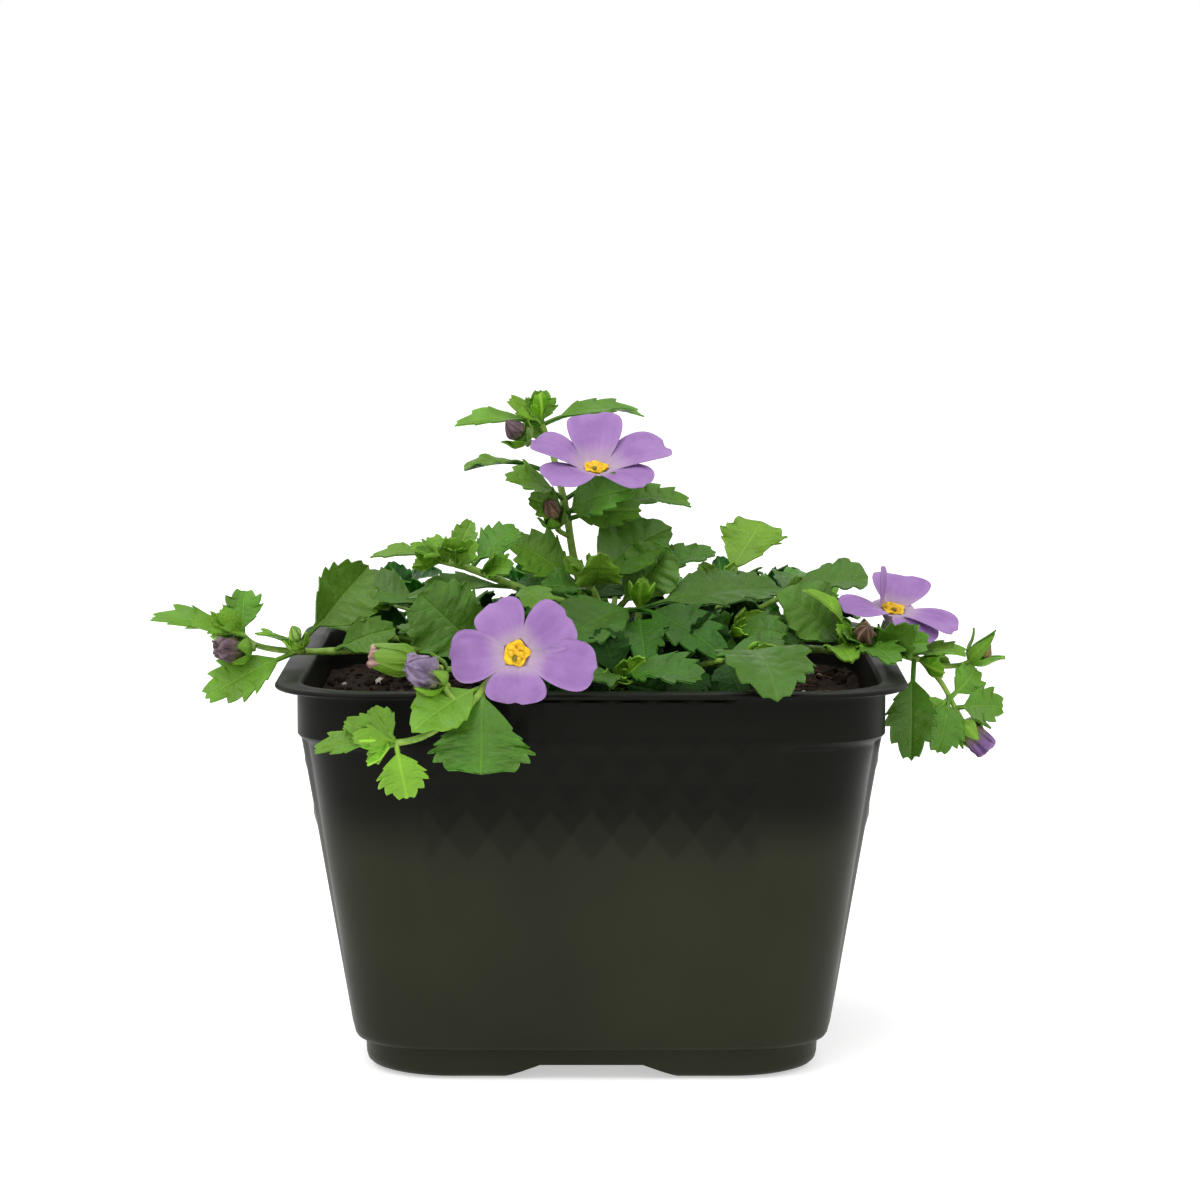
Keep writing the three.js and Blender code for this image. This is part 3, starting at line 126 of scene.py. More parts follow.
def tone_by_width(width):
    """Narrow leaves are the young ones at the growing tips."""
    return min(0.9, max(0.0, 1.05 - width / 8.5))


def leaf(at, tip, width, face=(0, 0, 1), bend=0.1, fold=14, stalk=0.16, widest=0.5, tone=None, smoother=1.0):
    return dict(at=at, tip=tip, width=width, face=face, bend=bend, fold=fold, stalk=stalk, widest=widest,
                tone=tone_by_width(width) if tone is None else tone, smoother=smoother)


def twig(at, route, bears, leaves=()):
    return dict(at=at, route=route, bears=bears, leaves=leaves)


def petal(angle, length, width, tilt):
    return dict(angle=angle, length=length, width=width, tilt=tilt)


STEMS = {}


def stem(name, foot, route, radius=STEM_RADIUS, leaves=(), twigs=(), pairs=(), ruled=(), seed=DEFAULT_SEED,
         ends=None, fillers=(), shade=()):
    STEMS[name] = dict(foot=foot, route=route, radius=radius, leaves=leaves, twigs=twigs, pairs=pairs,
                       ruled=ruled, seed=seed, ends=ends, fillers=fillers, shade=shade)


# The plant, stem by stem, as in the part. A leaf, pair or twig grows at a
# station: 0 is the foot's lower end, 1 its upper end, 2 the route's first point.
# A tone of 1 is young and yellow-green, 0 is full-grown, and below 0 the green is
# darkened as painted shade, to -1 for leaves low inside the plant. Fillers are small
# leaves round the part's own, and shade has the stations where low leaves hide the
# soil; those low in the plant are coloured with painted shade.
stem(
    "stem_upright", foot=(-1, 2), radius=(1, 0.6), shade=(1.7,),
    route=[(-0.5, 0, 73), (-2, -1, 82), (-3.5, -2, 89), (-4.5, -2, 95.5), (-6, 1, 102),
           (-7.5, 4, 107.5), (-9.5, 4.5, 112.5)],
    leaves=[
        leaf(6, (-23, -5, 104), 8, bend=0.12, stalk=0.3, widest=0.68, tone=0.4, smoother=0.5),
        leaf(5.4, (-15.5, -8, 102.5), 8.5, (0.3, -0.5, 1), tone=0.35),
        leaf(8, (-25, 2, 111.5), 5, (0, -0.5, 1), tone=0.4, smoother=0.5),
        leaf(8, (-9.3, 3, 118), 6, (0, -1, 0.2), fold=20, tone=0.35),
        leaf(8, (-15, 2, 116.5), 3.4, (0.3, -1, 0.3)),
        leaf(7.8, (9, 14, 112.8), 7, (0, -0.4, 1)),
        leaf(5.1, (18, 2, 97.2), 8, bend=0.1, stalk=0.36, face=(0, -0.5, 1), tone=0.25),
        leaf(5.4, (9, 3, 103.5), 9, bend=0.1, face=(-0.2, -0.7, 0.8)),
        leaf(3, (-15, -2, 91), 9.5, (0.1, -0.8, 0.6), tone=0.4),
        leaf(2.5, (-13, 3, 83.5), 11, (0, -0.7, 0.7), tone=-0.4),
        leaf(2.6, (8, 8, 84.5), 12, (0, -0.6, 0.8), tone=-0.4),
    ],
    fillers=[
        leaf(5.0, (7.5, -12, 101.2), 8.5, (0, -0.9, 0.45), bend=0.16),
        leaf(4.9, (9.0, -8, 97.0), 7.0, (0.1, -0.9, 0.4), bend=0.12),
        leaf(5.05, (-11.5, -6, 99.0), 6.0, (0, -0.9, 0.4)),
        leaf(7.0, (-13.0, 8, 111.5), 5.0, (0, -0.6, 0.8)),
    ],
    twigs=[
        twig(5.15, [(-2.4, -3.6, 96.6), (0.45, -4.5, 97.8)], "bloom_top"),
        twig(7.2, [(-10, 3.2, 108.3), (-12.2, 2, 108.8)], "bud_top"),
        twig(4.4, [(-6, -4, 93), (-6.3, -4.5, 94)], "bud_upright"),
    ],
)
stem(
    "stem_centre", foot=(5, -3), radius=(1, 0.6), shade=(1.5, 2.3),
    route=[(5, -4, 70), (3, -7, 76.5), (0.5, -9, 82), (-0.5, -9.5, 84.5)],
    leaves=[
        leaf(5, (14.5, -4, 93.5), 14, (0, -0.7, 0.8), stalk=0.12, widest=0.42, tone=-0.1, smoother=0.45),
        leaf(4.8, (22.5, -4, 89), 8, (0, -0.5, 1), stalk=0.45, bend=0.02, tone=-0.1, smoother=0.6),
        leaf(3, (14, -11, 90.5), 12, (0, -0.9, 0.3), stalk=0.3, widest=0.6, bend=0.05, tone=0.0,
             smoother=0.35),
        leaf(4, (-9, -12, 83.5), 8, (0, -0.4, 1), bend=0.08, tone=-0.2),
        leaf(4.6, (1.5, -18, 90.5), 9, (0.2, -1, 0.3), fold=26, bend=0.12, tone=0.7),
        leaf(2.5, (2, -17, 70.5), 7, (0, -0.8, 0.6), tone=-0.9),
        leaf(2.3, (15, -12, 69), 8, (0, -0.6, 0.8), tone=-0.9),
    ],
)
stem(
    "stem_upper_left", foot=(-5, -4), radius=(1, 0.6), shade=(1.7, 2.3),
    route=[(-2, -9, 70), (-1, -14, 79), (-11, -19.5, 83.5), (-21.5, -18, 87.5), (-27, -18, 89)],
    leaves=[
        leaf(6, (-39.5, -16, 89.3), 5, (0, -0.3, 1)),
        leaf(5.6, (-21.5, -16, 96), 4.6, (0.2, -1, 0.3)),
        leaf(5, (-13, -13, 94), 8, (-0.2, -0.7, 0.8)),
        leaf(6, (-28.5, -16, 93), 4, (0.2, -1, 0.3)),
        leaf(5.8, (-32, -21, 91.5), 4, (0.3, -0.6, 1)),
        leaf(5.4, (-24, -24, 91.5), 4.5, (0, -0.6, 1)),
        leaf(4.6, (-17, -24, 91), 5, (0, -0.8, 0.8)),
        leaf(4.2, (-33, -17, 82), 8, (0, -0.4, 1), bend=0.06),
        leaf(5.8, (-25, -22, 93.5), 4, (0.2, -1, 0.2)),
        leaf(5.3, (-20.5, -23, 93), 4.5, (0, -1, 0.3)),
        leaf(4.8, (-14, -24, 88), 6, (0, -0.8, 0.6)),
        leaf(4.2, (-8, -29, 80.5), 7, (0, -0.5, 1)),
    ],
)
stem(
    "stem_left", foot=(-12, -3), radius=(1, 0.55),
    route=[(-16, -6, 69.5), (-27, -11, 71.8), (-38, -14, 72.4), (-51.5, -16, 72.4), (-59, -17, 73.4),
           (-63, -17, 75.5)],
    leaves=[
        leaf(5.2, (-40.2, -10, 87.3), 13, (0.5, -0.75, 0.4), fold=28, stalk=0.28, bend=0.06, tone=0.25),
        leaf(5.1, (-59.5, -20.5, 76), 4.5),
        leaf(5.1, (-68.5, -23.5, 65), 9, (0, -0.75, 0.65), bend=0.05, fold=8, stalk=0.2, tone=0.45),
        leaf(4, (-49, -3, 77.5), 6, (0, -0.6, 0.8), tone=0.35),
        leaf(6.5, (-78.5, -17, 78.5), 5.5, (0, -0.6, 1)),
        leaf(7, (-62.3, -13, 83), 7, (0, -1, 0.2), fold=18),
        leaf(6.8, (-71, -21, 78.5), 4, (0, -0.8, 0.6)),
        leaf(7, (-66, -21, 80.5), 4, (0.2, -1, 0.3)),
    ],
    fillers=[
        leaf(4.6, (-35.0, -16, 76.5), 7.5, (0, -0.9, 0.5)),
    ],
    pairs=[dict(at=3, length=12, width=8, spread=70)],
    twigs=[
        twig(6.2, [(-60.5, -19, 73.6), (-61, -20, 73.4)], "bud_left"),
        twig(5, [(-51.6, -20, 73.6), (-51.8, -21.5, 74)], "bud_left_small"),
    ],
)
stem(
    "stem_left_back", foot=(-9, 6), radius=(0.9, 0.55), shade=(1.8,),
    route=[(-15, 6, 69.5), (-22, 4, 74), (-30, 2, 77.5), (-36, 5, 79)],
    leaves=[
        leaf(4, (-45, 5, 81.5), 10, (0.2, -0.6, 0.8), tone=-0.1),
        leaf(5, (-41, 16, 80), 8),
        leaf(4, (-25, -7, 81), 8, (0, -0.5, 1)),
        leaf(3, (-27, 14, 76.5), 9, tone=-0.4),
    ],
)
stem(
    "stem_front_left", foot=(-6, -10), radius=(0.95, 0.6),
    route=[(-9, -20, 66.8), (-12, -34, 69.2), (-14.5, -46, 71.6), (-17, -53, 72.2), (-21, -59.8, 68.5),
           (-28, -62, 64), (-34, -62, 62.5)],
    leaves=[
        leaf(3.2, (-30, -35, 85), 15, (-0.3, -1, 0.2), stalk=0.24, widest=0.6, bend=0.05),
        leaf(5.3, (-30, -65, 65), 10, (0.2, -0.5, 0.9), bend=0.08, fold=6, tone=0.5, smoother=0.3),
        leaf(5.4, (-18.5, -62.5, 57.5), 17, (0, -1, 0.2), widest=0.7, stalk=0.1, fold=-8, tone=0.0,
             smoother=0.7),
        leaf(8, (-46.5, -63, 61.5), 5, (0, -0.6, 0.8)),
        leaf(8, (-37, -61, 68.6), 5, (0.1, -1, 0.2)),
        leaf(8, (-41.5, -63, 66.5), 5, (0.3, -1, 0.3)),
        leaf(7.8, (-31, -63, 53.5), 8, (0, -1, 0.2), fold=8, tone=0.8),
        leaf(8, (-40, -65, 64), 4, (0, -0.8, 0.6)),
    ],
    twigs=[
        twig(4.6, [(-20, -50.5, 73), (-27, -50.5, 74.3), (-30, -50, 75)], "bud_front_calyx"),
        twig(6.1, [(-24.2, -59.3, 71), (-24.9, -59.1, 72.5)], "bud_front_purple"),
    ],
)
stem(
    "stem_front_bloom", foot=(0, -11), radius=(0.9, 0.6), shade=(1.7, 2.6),
    route=[(-3, -22, 67.5), (-7, -34, 70.5), (-10.5, -43, 74), (-12.7, -47.8, 75.6)],
    leaves=[
        leaf(3, (-21, -27, 76), 9, (0.2, -0.6, 1)),
    ],
    ends="bloom_front",
)
stem(
    "stem_front_mid", foot=(6, -11), radius=(0.9, 0.6), shade=(1.6, 2.4),
    route=[(7, -15, 69), (8, -16, 75), (8.5, -16, 80.5)],
    leaves=[
        leaf(4, (-6.5, -33, 75.5), 12, (-0.1, -0.75, 0.66), bend=0.1, tone=-0.3),
        leaf(3.6, (9.5, -32, 72.5), 9, (0, -0.8, 0.6), bend=0.1, tone=-0.45),
        leaf(4, (23, -30, 73.5), 10, (0.1, -0.8, 0.6), bend=0.1, tone=-0.5),
        leaf(4, (34.5, -7, 82.5), 13, (0, -0.5, 1), bend=0.06, fold=10, tone=-0.2),
        leaf(3, (0, -31, 69.5), 10, (-0.2, -0.8, 0.5), tone=-0.8),
    ],
)
stem(
    "stem_front_right", foot=(11, -9), radius=(0.9, 0.6), shade=(1.6, 2.5),
    route=[(16, -20, 69), (21, -29, 72), (27, -36, 74)],
    leaves=[
        leaf(4, (31.5, -58.5, 69.3), 17, (0.1, -0.3, 1), bend=0.17, fold=6, widest=0.45, tone=-0.15),
        leaf(3, (36, -32, 73), 9, (0, -0.6, 1), tone=-0.2),
        leaf(2.6, (14, -39, 67), 9, (0, -1, 0.4), tone=-0.85),
        leaf(3.4, (26, -44, 67.5), 8, (0, -1, 0.4), tone=-0.8),
    ],
)
stem(
    "stem_right", foot=(13, -3), radius=(1, 0.6),
    route=[(18, -6, 69), (27, -9, 71.5), (36, -11, 72.2), (45, -13, 72.2), (53, -14, 72),
           (59, -15, 70.8)],
    leaves=[
        leaf(5, (33, -15.5, 83), 13, (0.75, -0.65, 0.2), fold=12, bend=0.13, stalk=0.12, tone=0.05,
             smoother=0.35),
        leaf(4.9, (37.5, -20, 84), 3.6, (0.9, -0.3, 0.4), bend=0.22, fold=20, tone=0.85, smoother=0.3),
        leaf(4.8, (46, -27, 71.8), 7, (0, -0.5, 1), tone=0.55, smoother=0.5),
        leaf(5.3, (53.5, -29, 71.8), 8, (0, -0.4, 1), fold=8, tone=0.1),
        leaf(6, (57, -24.5, 78.3), 7, (0.1, -1, 0.3), fold=16, tone=0.1),
        leaf(6.6, (67, -16, 72), 5, (0, -0.5, 1)),
        leaf(5.2, (43.5, -21, 77), 4, (0.3, -0.8, 0.5)),
        leaf(6.8, (56.5, -28, 54.5), 9, (-0.2, -1, 0), stalk=0.22, bend=0.05),
    ],
    fillers=[
        leaf(5.2, (45.5, -22, 75.5), 7.5, (0, -0.9, 0.5)),
        leaf(5.9, (60.0, -21, 74.5), 7.0, (0.2, -0.9, 0.5)),
        leaf(4.4, (30.0, -18, 74.5), 7.5, (0, -0.9, 0.5)),
    ],
    twigs=[
        twig(5.5, [(50.5, -9.5, 72.4), (53.2, -7.5, 72.5)], "bloom_right"),
        twig(5.6, [(48.6, -16, 74), (48.6, -17, 74.6)], "bud_right"),
        twig(7, [(62, -15, 69.7), (66, -15, 69.8), (68, -15, 70.6)], "bud_right_spiky"),
        twig(7, [(62.5, -17, 67), (65, -18, 62.5), (66.5, -18, 59.8)], "bud_right_purple", [
            leaf(2, (73.5, -19, 63), 7, (0, -1, 0.4)),
            leaf(1.6, (69, -15, 69.2), 6, (0.2, -1, 0.2)),
            leaf(1.5, (61.5, -22, 55), 8, (0.2, -1, 0.1)),
            leaf(1.6, (58.5, -20, 61), 5, (0.2, -1, 0.2)),
        ]),
    ],
)
stem(
    "stem_front_low", foot=(2, -16), radius=(0.9, 0.6), shade=(1.6, 2.5, 3.4),
    route=[(3, -24, 65.8), (4, -31, 68), (5, -35, 70)],
    leaves=[
        leaf(4, (-4, -47, 71), 11, (0, -0.6, 1), tone=-0.3),
        leaf(4, (19, -46, 71.2), 10, (0, -0.6, 1), tone=-0.3),
    ],
)
stem(
    "stem_right_round", foot=(7, 4), radius=(0.9, 0.55), shade=(1.6, 2.3),
    route=[(12, 4, 71), (19, 3, 78), (24, 2.5, 81.5)],
    leaves=[
        leaf(4, (31.5, 14, 92.8), 13.2, (-0.2, -0.6, 0.75), stalk=0.3, widest=0.66,
             fold=4, bend=0.02, tone=0.95),
        leaf(3.8, (19.5, -0.5, 86.5), 4, (0, -0.8, 0.6), stalk=0.3),
        leaf(3, (12, 14, 81), 9),
        leaf(3.6, (30, 14, 82.5), 9),
    ],
)
stem(
    "stem_right_back", foot=(11, 9), radius=(0.9, 0.55), shade=(1.7, 2.3),
    route=[(20, 10, 70), (28, 9, 75.5), (35, 8, 79.5)],
    leaves=[
        leaf(4, (51, 9, 83), 12, (0.1, -0.45, 1), bend=0.06, widest=0.62, tone=0.0, smoother=0.4),
        leaf(2.6, (31, 1, 78), 9, (0, -1, 0.3), tone=-0.6),
        leaf(4, (41, 22, 82), 9),
        leaf(3, (27, 23, 78), 10),
    ],
)
stem(
    "stem_right_mid", foot=(16, -9), radius=(0.9, 0.55), shade=(1.6, 2.5),
    route=[(19, -12, 69.5), (23, -15, 73.8), (25.5, -17, 76.2)],
    leaves=[
        leaf(4, (21, -23, 71), 8, (0.3, -1, 0.2), tone=-0.4),
        leaf(3, (37, -20, 73.5), 9, (0, -0.8, 0.6), tone=-0.4),
        leaf(3.6, (12.5, -12, 73), 9, (0, -0.8, 0.5), bend=0.04, tone=-0.7),
        leaf(4, (38, -10, 74.5), 9, (0, -0.7, 0.7), bend=0.05, tone=-0.5),
        leaf(3.4, (20.5, -21.5, 78.5), 7, (0, -1, 0.3), tone=-0.35),
        leaf(4, (34.5, -25, 76.5), 7, (0, -0.8, 0.6), tone=-0.2),
    ],
)
# At the back and the sides, grown by rule
stem(
    "stem_back_left", foot=(-7, 13), seed=11, ruled=[3, 4.5], shade=(2.0, 3.7),
    route=[(-16, 22, 68.5), (-27, 33, 71.5), (-37, 45, 73.5), (-42, 55, 72.6), (-44.5, 60.5, 67.5),
           (-46, 62, 62)],
)
stem(
    "stem_back_mid", foot=(-1, 15), seed=23, ruled=[3.2, 5], shade=(2.0, 3.9),
    route=[(-4, 26, 68.5), (-7, 38, 72.5), (-9, 50, 73.3), (-11, 58, 71), (-12, 62, 65), (-13, 63, 58)],
)
stem(
    "stem_back_right", foot=(6, 14), seed=37, ruled=[3, 4.4], shade=(2.0, 3.8),
    route=[(12, 26, 69), (20, 38, 72.5), (27, 49, 73.5), (32, 57, 72), (35, 61, 66.5)],
)
stem(
    "stem_back_short", foot=(2, 9), seed=41, ruled=[2.8], shade=(1.6,),
    route=[(3, 14, 70.5), (4, 19, 76), (4.5, 22, 79)],
)
stem(
    "stem_side_left", foot=(-13, 3), seed=53, ruled=[3.2], shade=(2.2,),
    route=[(-22, 10, 67), (-30, 17, 69), (-38, 24, 70)],
)
stem(
    "stem_side_right", foot=(14, 4), seed=67, ruled=[3.4], shade=(2.2,),
    route=[(24, 14, 69), (34, 22, 72), (43, 30, 73)],
)


BLOOMS = {
    "bloom_top": dict(look=(0.05, -0.35, 0.93), petals=[
        petal(86, 12, 10.2, 31),
        petal(17, 14.4, 11.5, 13),
        petal(158, 12.4, 9.5, 19),
        petal(218, 11.6, 10, 5),
        petal(316, 11.2, 9.5, 2),
    ]),
    "bloom_front": dict(look=(0.02, -0.98, 0.2), petals=[
        petal(116, 9.7, 8.8, 8),
        petal(37, 11, 9.3, 8),
        petal(184, 11.7, 9.2, 6),
        petal(347, 13.9, 8.7, 6),
        petal(268, 8.8, 10.4, 10),
    ]),
    "bloom_right": dict(look=(0.16, -0.32, 0.93), petals=[
        petal(52, 7.8, 10.8, 36),
        petal(141, 3.4, 6, 81),
        petal(187, 11.2, 9, 8),
        petal(308, 12.6, 8.4, 2),
        petal(274, 11, 8.4, -10),
    ]),
}


def random_from(seed):
    """Repeatable random draws from 0 to 1, as in the part."""
    state = seed
    while True:
        state = (state * 48271) % 2147483647
        yield state / 2147483647


class Curve:
    """The smooth curve through a route that the part's stems follow."""

    def __init__(self, route):
        points = [np.asarray(place, float) for place in route]
        self.points = [2 * points[0] - points[1], *points, 2 * points[-1] - points[-2]]
        self.spans = len(points) - 1

    def at(self, along):
        place = min(max(along, 0.0), 1.0) * self.spans
        span = min(int(place), self.spans - 1)
        t = place - span
        before, start, end, after = self.points[span:span + 4]
        lead, trail = 0.5 * (end - before), 0.5 * (after - start)
        square, cube = 3 * (end - start) - 2 * lead - trail, 2 * (start - end) + lead + trail
        return start + t * (lead + t * (square + t * cube))

    def tangent(self, along):
        step = 1e-4
        return unit(self.at(along + step) - self.at(along - step))


def mesh_object(name, points, faces):
    mesh = bpy.data.meshes.new(name)
    mesh.from_pydata((points * MM).tolist(), [], faces)
    made = bpy.data.objects.new(name, mesh)
    bpy.context.scene.collection.objects.link(made)
    return made


def write_marks(mesh, label, values):
    """Gives each point three numbers that a look reads under a label."""
    layer = mesh.attributes.new(label, "FLOAT_VECTOR", "POINT")
    layer.data.foreach_set("vector", values.astype(np.float32).ravel())


class Shape:
    """Points and faces of one piece, with two marks a point and a look a face."""

    def __init__(self):
        self.points, self.marks, self.tints, self.faces, self.looks = [], [], [], [], []
        self.count = 0

    def add(self, points, faces, marks=(0, 0, 0), tint=(0, 0, 0), look=0):
        points = np.asarray(points, float).reshape(-1, 3)
        self.points.append(points)
        self.marks.append(np.broadcast_to(np.asarray(marks, float), points.shape))
        self.tints.append(np.broadcast_to(np.asarray(tint, float), points.shape))
        self.faces.extend([[self.count + corner for corner in face] for face in faces])
        self.looks.extend([look] * len(faces))
        self.count += len(points)

    def piece(self, name, materials, slot, replaced):
        made = mesh_object(name, np.concatenate(self.points), self.faces)
        mesh = made.data
        write_marks(mesh, "marks", np.concatenate(self.marks))
        write_marks(mesh, "tint", np.concatenate(self.tints))
        for material in materials:
            mesh.materials.append(material)
        mesh.polygons.foreach_set("material_index", self.looks)
        mesh.polygons.foreach_set("use_smooth", [True] * len(self.faces))
        mesh.update()
        settle(made, replaced)


def settle(piece, replaced):
    """Puts a piece on the root body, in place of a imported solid."""
    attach(piece, "root")
    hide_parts(replaced)


def grid_faces(rows, columns, closed=False, turned=False):
    """Quads between the rows of a grid of points, closed round if asked."""
    faces = []
    for row in range(rows - 1):
        for column in range(columns if closed else columns - 1):
            a = row * columns + column
            b = row * columns + (column + 1) % columns
            quad = [a, b, b + columns, a + columns]
            faces.append(quad[::-1] if turned else quad)
    return faces


def lofted(rings, columns, turned=False):
    """Quads between closed rings of points, with a lid at each end."""
    first = list(range(columns))
    last = [(rings - 1) * columns + corner for corner in first]
    lids = [first, last[::-1]] if turned else [first[::-1], last]
    return grid_faces(rings, columns, closed=True, turned=turned) + lids


def circle(count):
    return np.arange(count) * math.tau / count


def sheet(shape, grid, thickness, marks, tints):
    """A thin closed blade from a grid of points, with a rim round it."""
    grid, marks = np.array(grid), np.array(marks)
    rows, columns, _ = grid.shape
    down = np.gradient(grid, axis=0)
    across = np.gradient(grid, axis=1)
    normal = np.cross(down, across)
    normal /= np.linalg.norm(normal, axis=2, keepdims=True) + 1e-9
    lift = normal * np.broadcast_to(thickness, (rows, columns))[..., None] / 2
    points = np.concatenate([(grid + lift).reshape(-1, 3), (grid - lift).reshape(-1, 3)])
    size = rows * columns
    faces = grid_faces(rows, columns, turned=True)
    faces += [[corner + size for corner in face[::-1]] for face in faces]
    rim = [(row * columns, (row + 1) * columns) for row in range(rows - 1)]
    rim += [((row + 1) * columns - 1 + columns, (row + 1) * columns - 1) for row in range(rows - 1)]
    rim += [(column + 1, column) for column in range(columns - 1)]
    rim += [(size - columns + column, size - columns + column + 1) for column in range(columns - 1)]
    faces += [[a, b, b + size, a + size] for a, b in rim]
    under = np.concatenate([np.zeros(size), np.ones(size)])
    tints = np.tile(np.asarray(tints, float).reshape(-1, 3) * np.ones((size, 1)), (2, 1))
    tints[:, 2] = under
    shape.add(points, faces, np.tile(marks.reshape(-1, 3), (2, 1)), tints)


# Leaves

ACROSS = np.array([-1, -0.96, -0.84, -0.68, -0.5, -0.32, -0.16, -0.05, 0,
                   0.05, 0.16, 0.32, 0.5, 0.68, 0.84, 0.96, 1])
TEETH_BY_WIDTH = ((4.5, 2), (7.5, 3), (11.5, 4), (99, 5))
TEETH_LAG = 0.62
TEETH_END = 0.96
TOOTH_STEPS = ((0.0, 0.0), (0.28, 0.42), (0.56, 0.82), (0.74, 1.0), (0.86, 0.42))
TOOTH_DEPTH = 0.13
TOOTH_LEAN = 0.46
TIP_HALF = 0.04
VEIN_LEAN = 0.16
QUILTING = 0.046
PETIOLE_THICKNESS = 0.85
STALK_ROWS = (0, 0.35, 0.7)
LEAF_WAVE = 0.12
WAVE_TURNS = 2.6
LEAF_CURL = 0.12
RUFFLE = 0.075
RIB_GROOVE = 0.05
RIB_HALF = 0.3
RIB_EXTRA = 0.9
VEIN_PHASE = 0.74


def leaf_outline(along, widest):
    """Half-width along a blade: an oval, or a straight-sided fan if it is widest far out."""
    fan = min(1.0, max(0.0, (widest - 0.5) / 0.14))
    if along < widest:
        part = along / widest
        return (1 - fan) * math.sin(math.pi / 2 * part) ** 1.15 + fan * part ** 0.9
    return math.cos(math.pi / 2 * (along - widest) / (1 - widest)) ** (0.9 - 0.45 * fan)


def leaf_rows(teeth, widest, depth):
    """Places along a blade with their half-width and how far a tooth leans."""
    start = TEETH_LAG * widest
    rows = [(0.0, 0.0, 0.0)]
    rows += [(along, leaf_outline(along, widest), 0.0) for along in np.linspace(0.04, start * 0.94, 4)]
    pitch = (TEETH_END - start) / teeth
    for tooth in range(teeth):
        for step, rise in TOOTH_STEPS:
            along = start + pitch * (tooth + step)
            half = leaf_outline(along, widest) * (1 + depth * TOOTH_DEPTH * (2 * rise - 1))
            rows.append((along, half, rise * pitch * TOOTH_LEAN * min(1, depth)))
    rows.append((TEETH_END, leaf_outline(TEETH_END, widest) * (1 - depth * TOOTH_DEPTH), 0.0))
    rows.append((1.0, 0.0, 0.0))
    return rows, pitch


def grow_leaf(shape, base, blade, chance):
    """A toothed, quilted leaf on its stalk, in the place of the part's blade."""
    reach = np.asarray(blade["tip"], float) - base
    length = np.linalg.norm(reach)
    axis = reach / length
    face = np.asarray(blade["face"], float)
    upper = unit(face - axis * face.dot(axis))
    side = np.cross(axis, upper)
    fold = math.radians(blade["fold"])
    stalk = blade["stalk"]
    bend = blade["bend"]
    half_width = blade["width"] / 2
    teeth = next(count for wide, count in TEETH_BY_WIDTH if blade["width"] < wide)
    margin, pitch = leaf_rows(teeth, blade["widest"], (0.6 + 0.6 * chance) * blade["smoother"])
    rows = [(place * stalk, STALK_HALF, 0.0, 0.0) for place in STALK_ROWS]
    rows += [(stalk + (1 - stalk) * along, half * half_width, along, lean) for along, half, lean in margin]
    curl = (chance - 0.5) * LEAF_CURL
    distance = np.abs(ACROSS)
    grid, marks, thickness = [], [], []
    for place, half, along, lean in rows:
        half = max(half, STALK_HALF * (1 - 3 * along) if along < 0.3 else 0, TIP_HALF)
        blade_part = min(1.0, along * 6)
        places = place + (1 - stalk) * lean * distance ** 3
        middle = base + np.outer(places, reach)
        middle += upper * (length * bend * 4 * places * (1 - places))[:, None]
        normal = unit(upper - axis * bend * 4 * (1 - 2 * place))
        wave = LEAF_WAVE * math.sin(WAVE_TURNS * math.pi * along)
        ruffle = RUFFLE * math.sin(math.tau * (along / pitch * 0.5 + chance)) * min(1, along * 3)
        vein = (along - VEIN_LEAN * distance - TEETH_LAG * blade["widest"] + lean) / pitch - VEIN_PHASE
        quilt = -QUILTING * np.cos(math.tau * vein) * distance * (1 - ACROSS ** 2) * 2.6
        lifted = math.sin(fold) * distance ** 1.4 - wave * ACROSS + ruffle * ACROSS ** 2
        rib = RIB_GROOVE * np.exp(-(ACROSS / 0.09) ** 2)
        lifted += blade_part * (quilt - rib) + curl * ACROSS ** 2 * along
        spread = np.outer(half * math.cos(fold) * ACROSS, side)
        grid.append(middle + spread + np.outer(half * lifted, normal))
        marks.append(np.stack([half * ACROSS, vein, distance * blade_part], axis=1))
        stout = PETIOLE_THICKNESS * np.sqrt(1 - 0.8 * ACROSS ** 2)
        thin = LEAF_THICKNESS * (1 + RIB_EXTRA * np.exp(-(half * ACROSS / RIB_HALF) ** 2) * (1 - along))
        thickness.append(stout + (thin - stout) * blade_part)
    sheet(shape, grid, thickness, marks, (blade["tone"], chance, 0))


# Stems, twigs and calyxes

STEM_SIDES = 12
STEM_ROUNDING = 0.88
STEM_STEPS = 8
NODE_SWELL = 0.22
NODE_REACH = 0.12


def grow_stem_tube(shape, curve, foot_radius, tip_radius, nodes=(), look=1):
    """A round stem that thickens a little where leaves grow, with a closed tip."""
    steps = curve.spans * STEM_STEPS
    side = np.array([1.0, 0.0, 0.0])
    angles = circle(STEM_SIDES)
    rings = []
    for step in range(steps + 1):
        along = step / steps
        tangent = curve.tangent(along)
        side = unit(side - tangent * side.dot(tangent))
        other = np.cross(tangent, side)
        swells = [math.exp(-((along - node) * curve.spans / NODE_REACH) ** 2) for node in nodes]
        radius = (foot_radius + (tip_radius - foot_radius) * along) * STEM_ROUNDING
        radius = radius * (1 + NODE_SWELL * max(swells, default=0))
        ring = radius * (np.outer(np.cos(angles), side) + np.outer(np.sin(angles), other))
        rings.append(curve.at(along) + ring)
    tip = curve.at(1) + curve.tangent(1) * tip_radius * 0.6
    rings.append(tip + (rings[-1] - curve.at(1)) * 0.35)
    rise = np.repeat(np.linspace(0, 1, len(rings)), STEM_SIDES)
    marks = np.stack([rise, rise * 0, rise * 0], axis=1)
    shape.add(np.concatenate(rings), lofted(len(rings), STEM_SIDES), marks, (0.5, 0.5, 0), look)


def axes_of(look):
    """Two directions across a look, the first level and to the right."""
    right = unit(np.cross(UP, look))
    return right, np.cross(look, right)


